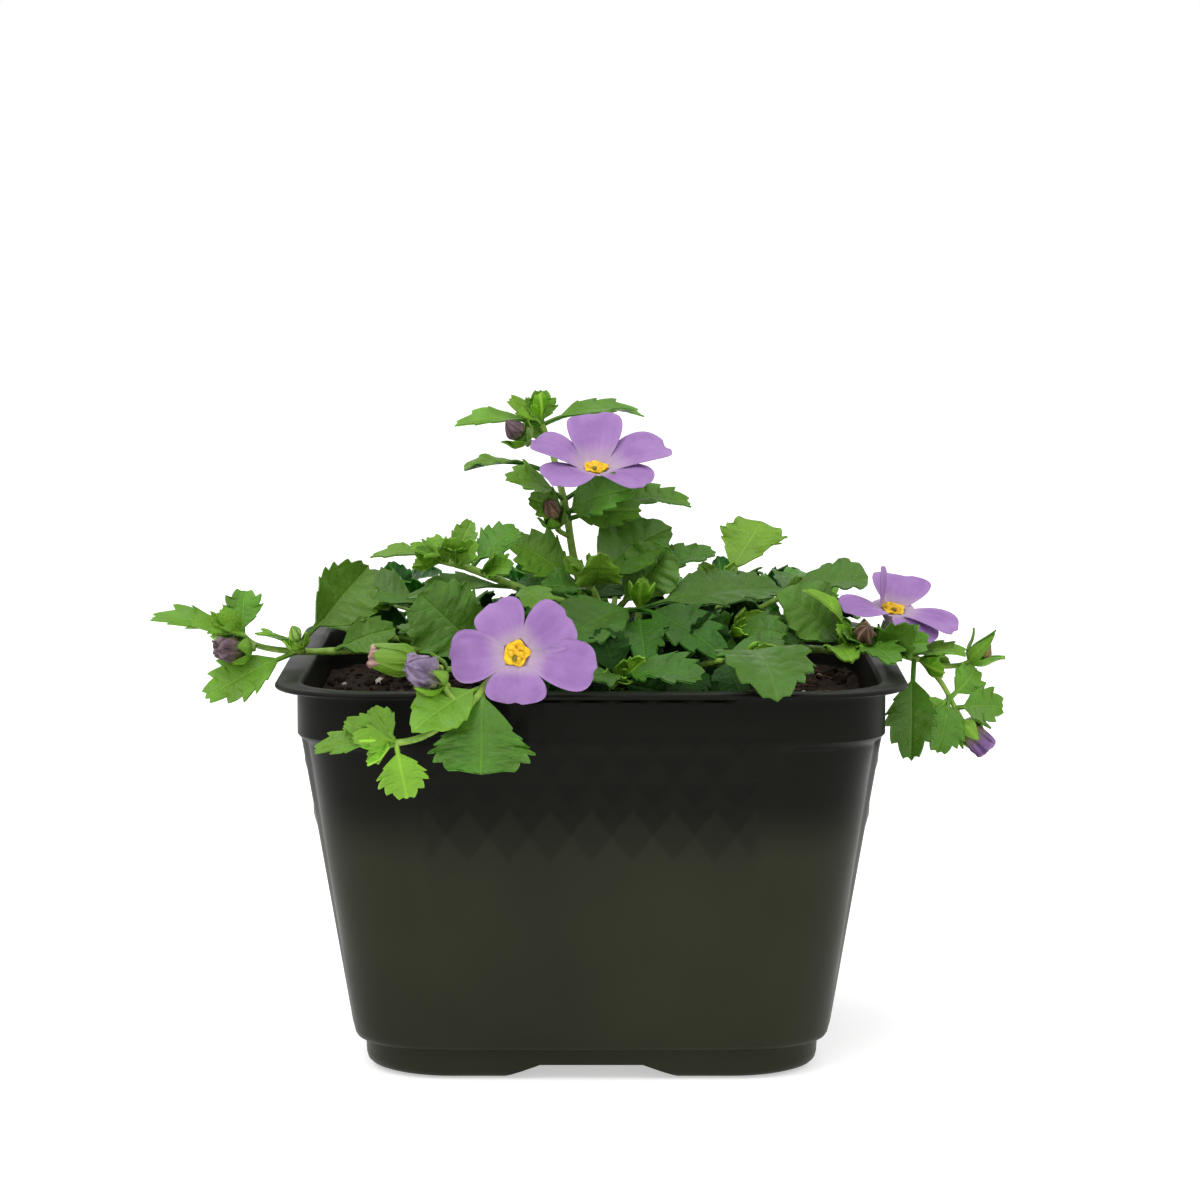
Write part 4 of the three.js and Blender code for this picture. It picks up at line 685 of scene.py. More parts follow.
SEPAL_ACROSS = np.array([-1, -0.75, -0.5, -0.25, 0, 0.25, 0.5, 0.75, 1])
SEPAL_ROWS = 15
SEPAL_BLADE = 0.3
SEPAL_SEAT = 0.25
CALYX_NECK = 0.45


def grow_calyx(shape, end, look, mouth, size, style):
    """Pointed, keeled sepals round the end of a twig, open at their tips."""
    right, above = axes_of(look)
    for sepal in range(SEPALS):
        angle = math.tau * (sepal + 0.25) / SEPALS
        out = right * math.cos(angle) + above * math.sin(angle)
        side = np.cross(look, out)
        reach = size * style["long"] * (1 + style["uneven"] * math.sin(sepal * 2.4 + size))
        grid, marks = [], []
        for part in np.linspace(0, 1, SEPAL_ROWS):
            belly = math.sin(math.pi / 2 * min(1, part * 2.2)) ** 0.7
            spread = CALYX_NECK + (mouth - 0.1) * belly + style["open"] * part ** 2.6
            width = (0.5 + 0.62 * mouth * belly) * (1 - max(0, part - 0.25) / 0.75) ** style["taper"]
            width = max(width * style["wide"], TIP_HALF)
            height = -SEPAL_SEAT + (reach + SEPAL_SEAT) * part
            cup = -0.32 * width * SEPAL_ACROSS ** 2 + 0.1 * np.exp(-(SEPAL_ACROSS / 0.18) ** 2)
            wag = 0.12 * math.sin(part * 5 + sepal * 2) * part
            points = end + look * height + np.outer(spread + cup, out)
            grid.append(points + np.outer(width * SEPAL_ACROSS + wag, side))
            no_vein = np.full_like(SEPAL_ACROSS, 0.5)
            marks.append(np.stack([width * SEPAL_ACROSS, no_vein, np.abs(SEPAL_ACROSS)], axis=1))
        sheet(shape, grid, SEPAL_BLADE, marks, (style["tone"], sepal / SEPALS, 0))
    foot = Curve([end - look * 1.2, end - look * 0.2, end + look * 0.7])
    grow_stem_tube(shape, foot, TWIG_RADIUS * 0.95, 0.85)


# Blooms

PETAL_ACROSS = np.linspace(-1, 1, 21)
PETAL_ALONG = np.concatenate([np.linspace(0, 0.88, 17), [0.92, 0.95, 0.97, 0.985]])
PETAL_END_ROUNDING = 0.035
PETAL_WIDEST = 0.66
PETAL_ROUNDING = 2.3
PETAL_SKEW = 0.4
PETAL_NOTCH = 0.016
PETAL_WOBBLE = 0.018
PETAL_WAVE = 0.05
PETAL_GROOVE = 0.05
PETAL_PLEATS = 0.018
PETAL_CURL = 0.1
LAYER_STEP = 0.15
BLOOM_SEED = 7
ROUND_SIDES = 40
LUMP_DETAIL = 12
BUD_SIDES = 42
TUBE_PROFILE = ((TUBE_RADIUS * 0.9, -TUBE_LENGTH), (TUBE_RADIUS, -4), (TUBE_RADIUS, -2.4), (1.7, -1.4),
                (THROAT_RADIUS - 0.5, -0.3), (THROAT_RADIUS + 0.3, 0.1), (THROAT_RADIUS + 0.9, 0.32),
                (THROAT_RADIUS + 0.85, 0.44), (THROAT_RADIUS, 0.3), (2.1, -0.15), (1.5, -0.8), (0.3, -1.0))
EYE_PROFILE = ((1.3, -0.7), (1.9, -0.15), (2.15, 0.3), (2.1, 0.5), (1.75, 0.5), (1.2, 0.2), (0.6, -0.05),
               (0.1, -0.1))
ANTHER_PROFILE = ((0.1, -0.25), (0.56, 0.05), (0.72, 0.34), (0.52, 0.62), (0.1, 0.74))
STYLE_PROFILE = ((0.3, -0.3), (0.42, 0.35), (0.5, 0.62), (0.3, 0.8), (0.06, 0.84))
STYLE_PLACE = (-0.35, -0.95)


def petal_outline(along):
    if along < PETAL_WIDEST:
        return PETAL_ROOT + (1 - PETAL_ROOT) * math.sin(math.pi / 2 * along / PETAL_WIDEST)
    part = (along - PETAL_WIDEST) / (1 - PETAL_WIDEST)
    return max(0, 1 - part ** PETAL_ROUNDING) ** (1 / PETAL_ROUNDING)


def grow_petal(shape, centre, frame_axes, form, chance, layer):
    """A rounded petal with a soft, slightly waved edge."""
    right, above, look = frame_axes
    turn = math.radians(form["angle"])
    out = right * math.cos(turn) + above * math.sin(turn)
    side = above * math.cos(turn) - right * math.sin(turn)
    rise = math.tan(math.radians(form["tilt"]))
    reach = form["length"] - PETAL_START
    skew = (chance - 0.5) * PETAL_SKEW
    across = PETAL_ACROSS
    grid, marks, thickness = [], [], []
    for along in PETAL_ALONG:
        half = petal_outline(along) * form["width"] / 2
        notch = PETAL_NOTCH * along ** 5 * np.exp(-((across - skew) / 0.4) ** 2)
        wobble = PETAL_WOBBLE * along * np.sin(4.4 * across + 9 * chance) + 0.05 * skew * across * along ** 2
        places = along - notch + wobble * along - PETAL_END_ROUNDING * across ** 2 * along ** 12
        height = reach * (rise * places + PETAL_ARCH * 4 * places * (1 - places))
        slope = rise + PETAL_ARCH * 4 * (1 - 2 * along)
        normal = unit(look - out * slope)
        wave = PETAL_WAVE * np.sin(3.6 * across + 6 * chance) * along ** 1.5
        groove = -PETAL_GROOVE * np.exp(-(across / 0.14) ** 2) * (1 - along ** 2)
        pleats = PETAL_PLEATS * np.cos(across * 15 + chance * 3) * np.sin(np.pi * along)
        curl = -PETAL_CURL * along ** 4 * (1 + 0.6 * np.sin(2.5 * across + 5 * chance))
        lifted = half * (PETAL_ROLL * np.abs(across) ** 1.5 + wave * np.abs(across) + groove + pleats)
        lifted += form["width"] / 2 * curl
        points = centre + np.outer(PETAL_START + reach * places, out)
        points += np.outer(height + layer * (LAYER_STEP + across * 0.12) * min(1, along * 4), look)
        points += np.outer(half * across, side) + np.outer(lifted, normal)
        grid.append(points)
        marks.append(np.stack([np.full_like(across, along), across, half * across], axis=1))
        thickness.append(PETAL_THICKNESS * (1 - 0.7 * np.abs(across) ** 6) * (1 - 0.7 * along ** 8))
    sheet(shape, grid, thickness, marks, (chance, 0, 0))


def grow_round(shape, centre, frame_axes, profile, sides, marks=(0, 0, 0), look=0, lobes=(0, 0, 0),
               rough=0.0):
    """A body turned about its look, with lobes of a count, depth and twist.

    Without marks of its own, each point is marked with its place along and round.
    """
    right, above, ahead = frame_axes
    count, depth, twist = lobes
    angles = circle(sides)
    rings = []
    for radius, height in profile:
        folds = np.cos(count * angles + twist * height)
        wide = radius * (1 + depth * np.sign(folds) * np.abs(folds) ** 0.7)
        rise = np.full(sides, float(height))
        if rough:
            for step, angle in enumerate(angles):
                spot = Vector((math.cos(angle) * 1.3, math.sin(angle) * 1.3, height * 0.5 + radius))
                wide[step] *= 1 + rough * noise.noise(spot)
                rise[step] += rough * radius * noise.noise(spot * 1.7)
        ring = centre + np.outer(rise, ahead)
        ring = ring + np.outer(wide * np.cos(angles), right) + np.outer(wide * np.sin(angles), above)
        rings.append(ring)
    places = np.repeat(np.linspace(0, 1, len(rings)), sides)
    turns = np.tile(np.arange(sides) / sides, len(rings))
    own = np.stack([places, turns, places * 0], axis=1) if marks is None else marks
    shape.add(np.concatenate(rings), lofted(len(rings), sides), own, (0.5, 0.5, 0), look)


def grow_bloom(name, end, look):
    """Petals on a tube and, as its own piece, the yellow eye in their middle."""
    right, above = axes_of(look)
    axes = (right, above, look)
    centre = end + look * (TUBE_LENGTH + SEPAL_THICKNESS + 0.6)
    chances = random_from(len(name) * BLOOM_SEED)
    corolla = Shape()
    for layer, form in enumerate(BLOOMS[name]["petals"]):
        grow_petal(corolla, centre, axes, form, next(chances), (layer * 2 % 5) / 4 - 0.5)
    grow_round(corolla, centre, axes, TUBE_PROFILE, ROUND_SIDES, marks=(0.03, 0, 0), lobes=(5, 0.04, 0))
    corolla.piece(name + "_corolla", [PETAL], "petal", name + "_petals")
    eye = Shape()
    grow_round(eye, centre, axes, EYE_PROFILE, ROUND_SIDES, lobes=(5, 0.1, 0), rough=0.25)
    for stamen, (across, rise, size) in enumerate(EYE_LUMPS):
        place = centre + right * across + above * rise
        lump = [(radius * size, height) for radius, height in ANTHER_PROFILE]
        grow_round(eye, place, axes, lump, LUMP_DETAIL, look=1, lobes=(2, 0.22, 1 + stamen), rough=0.4)
    place = centre + above * STYLE_PLACE[1] + right * STYLE_PLACE[0]
    grow_round(eye, place, axes, STYLE_PROFILE, LUMP_DETAIL, look=2, rough=0.3)
    eye.piece(name + "_throat", [EYE, ANTHER, STYLE], "eye", name + "_eye")


# Places across the eye of the clustered anthers, with their size
EYE_LUMPS = ((-0.75, 0.95, 1.0), (0.7, 1.0, 0.95), (0.0, 0.15, 1.1), (0.85, -0.35, 0.9),
             (-0.95, -0.15, 0.85), (0.35, -1.25, 0.9))

# Radius of a closed bud along its length, for each kind of end
BUD_ENDS = {
    "pointed": ((0, 0.4), (0.08, 0.6), (0.2, 0.86), (0.34, 1.0), (0.5, 0.98), (0.64, 0.86), (0.76, 0.68),
                (0.86, 0.48), (0.94, 0.28), (1.0, 0.1)),
    "round": ((0, 0.4), (0.08, 0.6), (0.2, 0.84), (0.36, 0.97), (0.52, 1.0), (0.68, 0.96), (0.82, 0.82),
              (0.92, 0.58), (0.98, 0.34), (1.0, 0.1)),
    "blunt": ((0, 0.45), (0.08, 0.66), (0.2, 0.84), (0.4, 0.92), (0.62, 0.97), (0.82, 1.0), (0.93, 0.97),
              (0.985, 0.82), (0.97, 0.6), (0.9, 0.34), (0.86, 0.12)),
}

# Each bud's look (the way it points), radius, length and slot, the name of its
# colours, its end, the count, depth and twist of its folds and its roughness, and how
# far its sepals open, their width, unevenness and tone, then what differs for a few:
# the calyx's share of the length, how long its sepals are for that, and their taper
BUD_KEYS = ("look", "radius", "length", "slot", "colours", "end", "folds", "depth", "twist", "rough",
            "open", "wide", "uneven", "tone", "calyx", "long", "taper")
BUD_USUAL = (0.72, 1, 0.8)
BUD_ROWS = {
    "bud_top": ((-0.6, -0.4, 0.7), 1.7, 4.2, "bud", "purple_grey", "pointed", 5, 0.16, 0.7, 0.2,
                0.9, 0.8, 0.2, 0.55),
    "bud_upright": ((-0.3, -0.3, 0.9), 1.5, 4, "withered", "withered", "pointed", 6, 0.2, 0.9, 0.5,
                    0.5, 0.9, 0.1, 0.35),
    "bud_left": ((-0.8, -0.4, 0.05), 2, 5, "bud", "purple_grey", "blunt", 6, 0.2, 0.6, 0.5,
                 0.1, 0.95, 0.1, 0.45),
    "bud_left_small": ((-0.3, -0.3, 0.9), 1.2, 3, "greenery", "green", "pointed", 4, 0.12, 0.2, 0.2,
                       0.4, 0.8, 0.2, 0.7),
    "bud_front_calyx": ((-1, 0, 0.12), 1.8, 6.8, "bud", "beige", "blunt", 6, 0.2, 0.5, 0.4,
                        -0.6, 1.3, 0.06, 0.7, 0.92, 1.15, 0.42),
    "bud_front_purple": ((-0.8, -0.25, 0.45), 2.6, 6, "bud", "lilac_grey", "round", 7, 0.22, 0.35, 1.0,
                         0.1, 0.5, 0.15, 0.6),
    "bud_right": ((0.1, -0.8, 0.5), 1.7, 4.2, "withered", "withered", "pointed", 6, 0.2, 0.9, 0.6,
                  0.4, 0.9, 0.15, 0.4),
    "bud_right_spiky": ((0.7, -0.1, 0.6), 1.5, 3.4, "greenery", "green_brown", "pointed", 5, 0.2, 0.3, 0.4,
                        1.9, 0.85, 0.25, 0.4, 0.72, 2.3, 0.8),
    "bud_right_purple": ((0.6, -0.2, -0.7), 2.2, 5.5, "bud", "purple", "blunt", 9, 0.07, 0.1, 0.15,
                         0.2, 0.8, 0.1, 0.6),
}
BUDS = {name: dict(zip(BUD_KEYS, (*row, *BUD_USUAL))) for name, row in BUD_ROWS.items()}
BLOOM_SEPALS = dict(open=0.3, wide=1.0, uneven=0.05, tone=0.6, long=1, taper=0.8)


def grow_bud(name, end, look):
    """A closed or fading bud whose petals are folded round each other."""
    bud = BUDS[name]
    right, above = axes_of(look)
    start = end + look * (BUD_SEAT + SEPAL_THICKNESS)
    profile = [(bud["radius"] * wide, bud["length"] * part) for part, wide in BUD_ENDS[bud["end"]]]
    shape = Shape()
    lobes = (bud["folds"], bud["depth"], bud["twist"])
    grow_round(shape, start, (right, above, look), profile, BUD_SIDES, None, lobes=lobes, rough=bud["rough"])
    shape.piece(name + "_closed", [BUD_LOOKS[bud["colours"]]], bud["slot"], name)


# Stems with all that they bear

def leaf_pair(curve, stations, draws, at, length, width, spread=62, turn=0):
    """A leaf on each side of a stem, with the part's own random draws."""
    along = at / (stations - 1)
    base = curve.at(along)
    tangent = curve.tangent(along)
    level = unit(np.cross(tangent, UP))
    made = []
    for sign in (1, -1):
        angle = math.radians(turn + 24 * (next(draws) - 0.5))
        opened = math.radians(spread + 20 * (next(draws) - 0.5))
        size = length * (0.9 + 0.2 * next(draws))
        out = np.array(Matrix.Rotation(angle, 3, Vector(tangent)) @ Vector(level * sign))
        tip = base + (tangent * math.cos(opened) + out * math.sin(opened)) * size
        tip[2] += size * 0.12
        face = UP - out * 0.4 + tangent * 0.3
        wide = width * (0.9 + 0.2 * next(draws))
        bend = 0.08 + 0.08 * next(draws)
        made.append(leaf(at, tip, wide, face, bend, fold=8 + 14 * next(draws)))
    return made


def grow_leaves(shape, curve, stations, leaves, chances):
    for blade in leaves:
        along = min(blade["at"] / (stations - 1), ROOT_LAST)
        grow_leaf(shape, curve.at(along), blade, next(chances))


# Leaflets of a growing tip, of a leaf's axil and of the shade low in the plant, as
# length, width, spread and turn
TIP_LEAFLETS = ((6.6, 3.8, 44, 0), (6.2, 3.6, 40, 180), (5.2, 2.9, 30, 90), (5.0, 2.7, 28, 270),
                (3.8, 1.9, 14, 45), (3.4, 1.7, 14, 225))
AXIL_LEAFLETS = ((5.2, 2.8, 48, 20), (5.0, 2.7, 46, 200))
TIP_TONE = 0.7
AXIL_TONE = 0.6
OUTER_TONE = 0.1
# Tone of the low leaves in the shade: a dark green of painted shade
PAINTED_SHADE_TONE = -0.9
CLUSTER_SMOOTHER = 0.6
FOLDED = dict(bend=-0.12, fold=24, stalk=0.05)
SPREADING = dict(bend=0.08, fold=10)
LOW_LEAVES = ((11.0, 8.0, 74, 0), (10.0, 7.4, 66, 125), (10.5, 7.6, 76, 240))

# Stations from here on are out in the light
SHADE_END = 3.5


def grow_cluster(shape, curve, along, leaflets, chances, **form):
    """Leaves that stand close round a stem."""
    base, tangent = curve.at(along), curve.tangent(along)
    level = unit(np.cross(tangent, UP + np.array([0.0, 0.01, 0.0])))
    for length, width, spread, turn in leaflets:
        chance = next(chances)
        out = np.array(Matrix.Rotation(math.radians(turn + 40 * chance), 3, Vector(tangent)) @ Vector(level))
        opened = math.radians(spread * (0.85 + 0.3 * chance))
        tip = base + (tangent * math.cos(opened) + out * math.sin(opened)) * length
        blade = leaf(0, tip, width, tangent - out * 0.5, smoother=CLUSTER_SMOOTHER, **form)
        grow_leaf(shape, base, blade, chance)


def grow_stem(name, plan):
    x, y = plan["foot"]
    route = [(x, y, STEM_FOOT_Z), (x, y, SOIL_TOP + FOOT_RISE), *plan["route"]]
    curve = Curve(route)
    stations = len(route)
    draws = random_from(plan["seed"])
    leaves = list(plan["leaves"])
    for pair in plan["pairs"]:
        leaves += leaf_pair(curve, stations, draws, **pair)
    if plan["ruled"]:
        for index, at in enumerate(plan["ruled"]):
            turn = 15 if index % 2 == 0 else -10
            leaves += leaf_pair(curve, stations, draws, at, turn=turn, **RULED_PAIR)
        leaves += leaf_pair(curve, stations, draws, stations - 1 - TIP_SETBACK, **TIP_PAIR)
    leaves += plan["fillers"]
    shape = Shape()
    nodes = [blade["at"] / (stations - 1) for blade in leaves]
    grow_stem_tube(shape, curve, *plan["radius"], nodes)
    chances = random_from(len(leaves) + sum(ord(letter) for letter in name))
    grow_leaves(shape, curve, stations, leaves, chances)
    if not plan["ends"]:
        grow_cluster(shape, curve, 1.0, TIP_LEAFLETS, chances, tone=TIP_TONE, **FOLDED)
    for at in plan["ruled"]:
        grow_cluster(shape, curve, at / (stations - 1), AXIL_LEAFLETS, chances, tone=AXIL_TONE, **FOLDED)
    for at in plan["shade"]:
        tone = PAINTED_SHADE_TONE if at < SHADE_END else OUTER_TONE
        grow_cluster(shape, curve, at / (stations - 1), LOW_LEAVES, chances, tone=tone, **SPREADING)
    ends = []
    for branch in plan["twigs"]:
        twig_route = [curve.at(branch["at"] / (stations - 1)), *branch["route"]]
        twig_curve = Curve(twig_route)
        grow_stem_tube(shape, twig_curve, TWIG_RADIUS, TWIG_RADIUS)
        grow_leaves(shape, twig_curve, len(twig_route), branch["leaves"], chances)
        ends.append((branch["bears"], np.asarray(twig_route[-1], float)))
    if plan["ends"]:
        ends.append((plan["ends"], np.asarray(route[-1], float)))
    for bears, end in ends:
        if bears in BLOOMS:
            look = unit(BLOOMS[bears]["look"])
            grow_calyx(shape, end, look, TUBE_RADIUS + MOUTH_GAP, BLOOM_CALYX, BLOOM_SEPALS)
            grow_bloom(bears, end, look)
        else:
            bud = BUDS[bears]
            look = unit(bud["look"])
            grow_calyx(shape, end, look, bud["radius"] + MOUTH_GAP, bud["calyx"] * bud["length"], bud)
            grow_bud(bears, end, look)
    shape.piece(name + "_grown", [LEAF, STALK], "greenery", name)


# Pot

CORNER_STEPS = 12
FLAT_STEPS = 6
COLUMN_STEPS = 6
ROW_STEPS = 8
DRAIN_SIDES = 24
SHARP_ANGLE = 40
# Heights over which a painted reflection darkens the sides, off the lattice and on it
PLAIN_BAND = (39.0, 51.0)
SOFT_BAND = (34.0, 52.0)


def flat_places():
    """Places across a side's flat face, dense where the lattice is."""
    flat = BODY_TOP_HALF - CORNER_RADIUS
    lattice = LATTICE_COLUMNS * LATTICE_PITCH / 4
    inner = np.linspace(-lattice, lattice, LATTICE_COLUMNS * COLUMN_STEPS + 1)
    outer = np.linspace(lattice, flat, FLAT_STEPS + 1)[1:]
    return np.concatenate([-outer[::-1], inner, outer]) / flat


def smooth_step(low, high, value):
    part = np.clip((value - low) / (high - low), 0, 1)
    return part * part * (3 - 2 * part)


def lattice_relief(across, z):
    """How far the studs stand out of a side's face, as whole diamonds only."""
    column = across / (LATTICE_PITCH / 2) + LATTICE_COLUMNS / 2
    row = (z - LATTICE_TOP) / LATTICE_ROW + LATTICE_ROWS
    first, second = (column + row) / 2, (column - row) / 2
    centre_one, centre_two = np.round(first), np.round(second)
    off_one, off_two = np.abs(first - centre_one), np.abs(second - centre_two)
    stud_column, stud_row = centre_one + centre_two, centre_one - centre_two
    whole = (stud_row >= 1) & (stud_row <= LATTICE_ROWS) & (stud_column >= 1)
    whole &= stud_column <= LATTICE_COLUMNS - 1
    peak = 1 - 2 * (off_one ** 8 + off_two ** 8) ** 0.125
    rise = (LATTICE_HIGH - LATTICE_LOW) * smooth_step(-0.1, 1.15, peak) * 1.25
    return np.where(whole, LATTICE_LOW + rise, 0)


def square_ring(half, bow, z, corner=CORNER_RADIUS, relief=False, places=None):
    """One level outline of the pot, with round corners and bowed sides."""
    flat = half - corner
    places = flat_places() if places is None else places
    across = places * flat
    out = half + bow * smooth_step(1.0, FLUSH_PART, np.abs(places))
    if relief:
        out = out + lattice_relief(across, z)
    angles = np.arange(1, CORNER_STEPS) * math.pi / 2 / CORNER_STEPS
    side = np.concatenate([
        np.stack([out, across], axis=1),
        np.stack([flat + corner * np.cos(angles), flat + corner * np.sin(angles)], axis=1)])
    points = []
    for cos, sin in ((1, 0), (0, 1), (-1, 0), (0, -1)):
        x, y = cos * side[:, 0] - sin * side[:, 1], sin * side[:, 0] + cos * side[:, 1]
        points.append(np.stack([x, y, np.full(len(side), z)], axis=1))
    return np.concatenate(points)


def body_at(z):
    part = (z - FOOT_HEIGHT) / (COLLAR_FOOT - FOOT_HEIGHT)
    return (BODY_FOOT_HALF + (BODY_TOP_HALF - BODY_FOOT_HALF) * part, BOW_FOOT + (BOW_TOP - BOW_FOOT) * part)


def side_at(z):
    """Half-width and bow at a height, with the rounded ledge under the collar."""
    half, bow = body_at(min(z, COLLAR_FOOT + 1))
    part = float(smooth_step(COLLAR_FOOT - 1.0, COLLAR_FOOT + 0.9, z))
    flush = half + bow
    half = half + (COLLAR_HALF - half) * part
    return half, max(0.0, flush - half) if z < COLLAR_FOOT + 1 else 0.0


def outer_rings():
    foot = [(0, FOOT_HALF - 2.6, 0), (0.15, FOOT_HALF - 1.6, 0), (0.5, FOOT_HALF - 0.9, 0),
            (1.2, FOOT_HALF - 0.3, 0.1), (2.4, FOOT_HALF, 0.2), (4.6, FOOT_HALF + 0.1, 0.3),
            (5.0, FOOT_HALF + 0.25, 0.3), (5.35, BODY_FOOT_HALF - 0.9, BOW_FOOT),
            (5.65, BODY_FOOT_HALF - 0.3, BOW_FOOT), (6.2, BODY_FOOT_HALF + 0.02, BOW_FOOT)]
    rings = [square_ring(half, bow, z) for z, half, bow in foot]
    lattice_foot = LATTICE_TOP - LATTICE_ROWS * LATTICE_ROW
    plain = list(np.linspace(7, lattice_foot - 0.3, 12))
    studded = list(np.linspace(lattice_foot, LATTICE_TOP, LATTICE_ROWS * ROW_STEPS + 1))
    for z in plain + studded:
        half, bow = side_at(z)
        rings.append(square_ring(half, bow, z, relief=True))
    top = POT_HEIGHT - LIP_THICKNESS
    lip = [(top - 0.5, COLLAR_HALF + 0.05, 0), (top - 0.2, COLLAR_HALF + 0.3, 0.3),
           (top - 0.04, COLLAR_HALF + 0.8, 0.8), (top, LIP_HALF - 0.55, 3), (top + 0.1, LIP_HALF - 0.2, 3),
           (top + 0.35, LIP_HALF, 3), (top + 0.65, LIP_HALF, 3), (POT_HEIGHT - 0.1, LIP_HALF - 0.2, 3),
           (POT_HEIGHT, LIP_HALF - 0.5, 3)]
    return rings + [square_ring(half, 0, z, CORNER_RADIUS + corner) for z, half, corner in lip]


def hollow_rings():
    foot, collar = FOOT_HALF - WALL, COLLAR_HALF - WALL
    rings = [(foot - 1.4, 0, WALL), (foot, 0.2, WALL + 1.4), (foot + 0.2, 0.3, FOOT_HEIGHT)]
    for z in (FOOT_HEIGHT + 2, 20, 40, COLLAR_FOOT - 0.4):
        half, bow = body_at(z)
        rings.append((half - WALL, bow, z))
    rings += [(collar - 0.2, 0, COLLAR_FOOT + 1.2), (collar, 0, COLLAR_FOOT + 2),
              (collar, 0, POT_HEIGHT - 0.9), (collar + 0.2, 0, POT_HEIGHT - 0.35),
              (collar + 0.7, 0, POT_HEIGHT + 0.01), (collar + 0.7, 0, POT_HEIGHT + 1)]
    return [square_ring(half, bow, z) for half, bow, z in rings]


def loft_object(name, rings):
    """A closed object through a list of equally long rings."""
    return mesh_object(name, np.concatenate(rings), lofted(len(rings), len(rings[0])))


def bar_object(name, grow, turned):
    """A bar with sloping sides through the foot, for the arches and the cross."""
    foot, top = ARCH_FOOT_WIDTH / 2 + grow, ARCH_TOP_WIDTH / 2 + grow
    height = ARCH_HEIGHT + grow
    outline = [(-foot, -1), (foot, -1), (foot, 0), (top, height), (-top, height), (-foot, 0)]
    rings = []
    for reach in (-LIP_HALF, LIP_HALF):
        ring = [(across, reach, z) if turned else (reach, -across, z) for across, z in outline]
        rings.append(np.array(ring, float))
    return loft_object(name, rings if not turned else rings[::-1])


def boss_object(name, grow):
    foot, top = BOSS_FOOT_WIDTH / 2 - grow, BOSS_TOP_WIDTH / 2 - grow
    rings = []
    for half, z in ((foot, -2), (foot, 0), (top, ARCH_HEIGHT + 3)):
        corners = [(half, -half, z), (half, half, z), (-half, half, z), (-half, -half, z)]
        rings.append(np.array(corners, float))
    return loft_object(name, rings)


def combine(target, cutter, operation):
    """Joins or cuts with a cutter, which is then thrown away."""
    modifier = target.modifiers.new("combine", "BOOLEAN")
    modifier.operation = operation
    modifier.solver = "EXACT"
    modifier.object = cutter
    graph = bpy.context.evaluated_depsgraph_get()
    result = bpy.data.meshes.new_from_object(target.evaluated_get(graph))
    target.modifiers.clear()
    target.data = result
    bpy.data.objects.remove(cutter)


def under_cross(grow):
    cross = bar_object("cross", grow, False)
    combine(cross, bar_object("cross_bar", grow, True), "UNION")
    combine(cross, boss_object("cross_boss", grow), "DIFFERENCE")
    return cross


def drain_object(x, y):
    angles = circle(DRAIN_SIDES)
    rings = [np.stack([x + DRAIN_RADIUS * np.cos(angles), y + DRAIN_RADIUS * np.sin(angles),
                       np.full(DRAIN_SIDES, z)], axis=1) for z in (-6.0, 6.0)]
    return loft_object("drain", rings)


def zigzag(across):
    """The wavy lower edge of the studs, from 0 in the tips to 1 in the notches."""
    return np.abs((across / LATTICE_PITCH - 0.5) % 1 - 0.5) * 2


def mark_pot(mesh):
    """Marks where the sheet's look paints a darker reflection over the studded zone, and a painted
    reflection on the faces of the studs by their slope.
    """
    places = np.zeros(len(mesh.vertices) * 3)
    mesh.vertices.foreach_get("co", places)
    places = places.reshape(-1, 3) / MM
    along_x = np.abs(places[:, 0]) < np.abs(places[:, 1])
    across = np.where(along_x, places[:, 0] * -np.sign(places[:, 1]), places[:, 1] * np.sign(places[:, 0]))
    rows = (places[:, 2] - LATTICE_TOP) / LATTICE_ROW + LATTICE_ROWS
    half = LATTICE_COLUMNS * LATTICE_PITCH / 4
    inside = smooth_step(half + 0.4, half - 0.4, np.abs(across))
    rising = zigzag(across)
    studded = 0.5 * smooth_step(-0.1, 0.1, rows - rising) + 0.5 * smooth_step(-0.1, 0.1, rows - 2 + rising)
    plain = smooth_step(*PLAIN_BAND, places[:, 2])
    soft = smooth_step(*SOFT_BAND, places[:, 2])
    # Painted reflection: the studded zone and the sides above it are darkened, as a dark room reflected in
    # the sheet
    dark = (0.55 * studded + 0.45 * soft) * inside + plain * (1 - inside)
    # Painted reflection on the studs: faces sloping one way come out darker than those sloping the other
    painted_facet_reflection = lattice_relief(across, places[:, 2] + 0.3) - lattice_relief(across, places[:, 2] - 0.3)
    marks = np.stack([dark, np.clip(0.5 + painted_facet_reflection * 1.5 * inside, 0, 1), across], axis=1)
    write_marks(mesh, "marks", marks)


def make_pot():
    pot = loft_object("pot_moulded", outer_rings())
    hollow = loft_object("hollow", hollow_rings())
    combine(hollow, under_cross(WALL), "DIFFERENCE")
    combine(pot, hollow, "DIFFERENCE")
    combine(pot, under_cross(0), "DIFFERENCE")
    for x in (-DRAIN_PLACE, DRAIN_PLACE):
        for y in (-DRAIN_PLACE, DRAIN_PLACE):
            combine(pot, drain_object(x, y), "DIFFERENCE")
    mark_pot(pot.data)
    pot.data.materials.clear()
    pot.data.materials.append(PLASTIC)
    pot.data.polygons.foreach_set("use_smooth", [True] * len(pot.data.polygons))
    pot.data.set_sharp_from_angle(angle=math.radians(SHARP_ANGLE))
    settle(pot, "pot")


# Soil

SOIL_RINGS = 72
SOIL_SPOTS = np.linspace(-1, 1, 33)
CRUMBS = 1500
PERLITE = 110
FIBRES = 70
SOIL_SEED = 17
SOIL_GAP = 0.12
FIBRE_RADIUS = (0.16, 0.1)
LUMP_RINGS = 5
LUMP_SIDES = 7


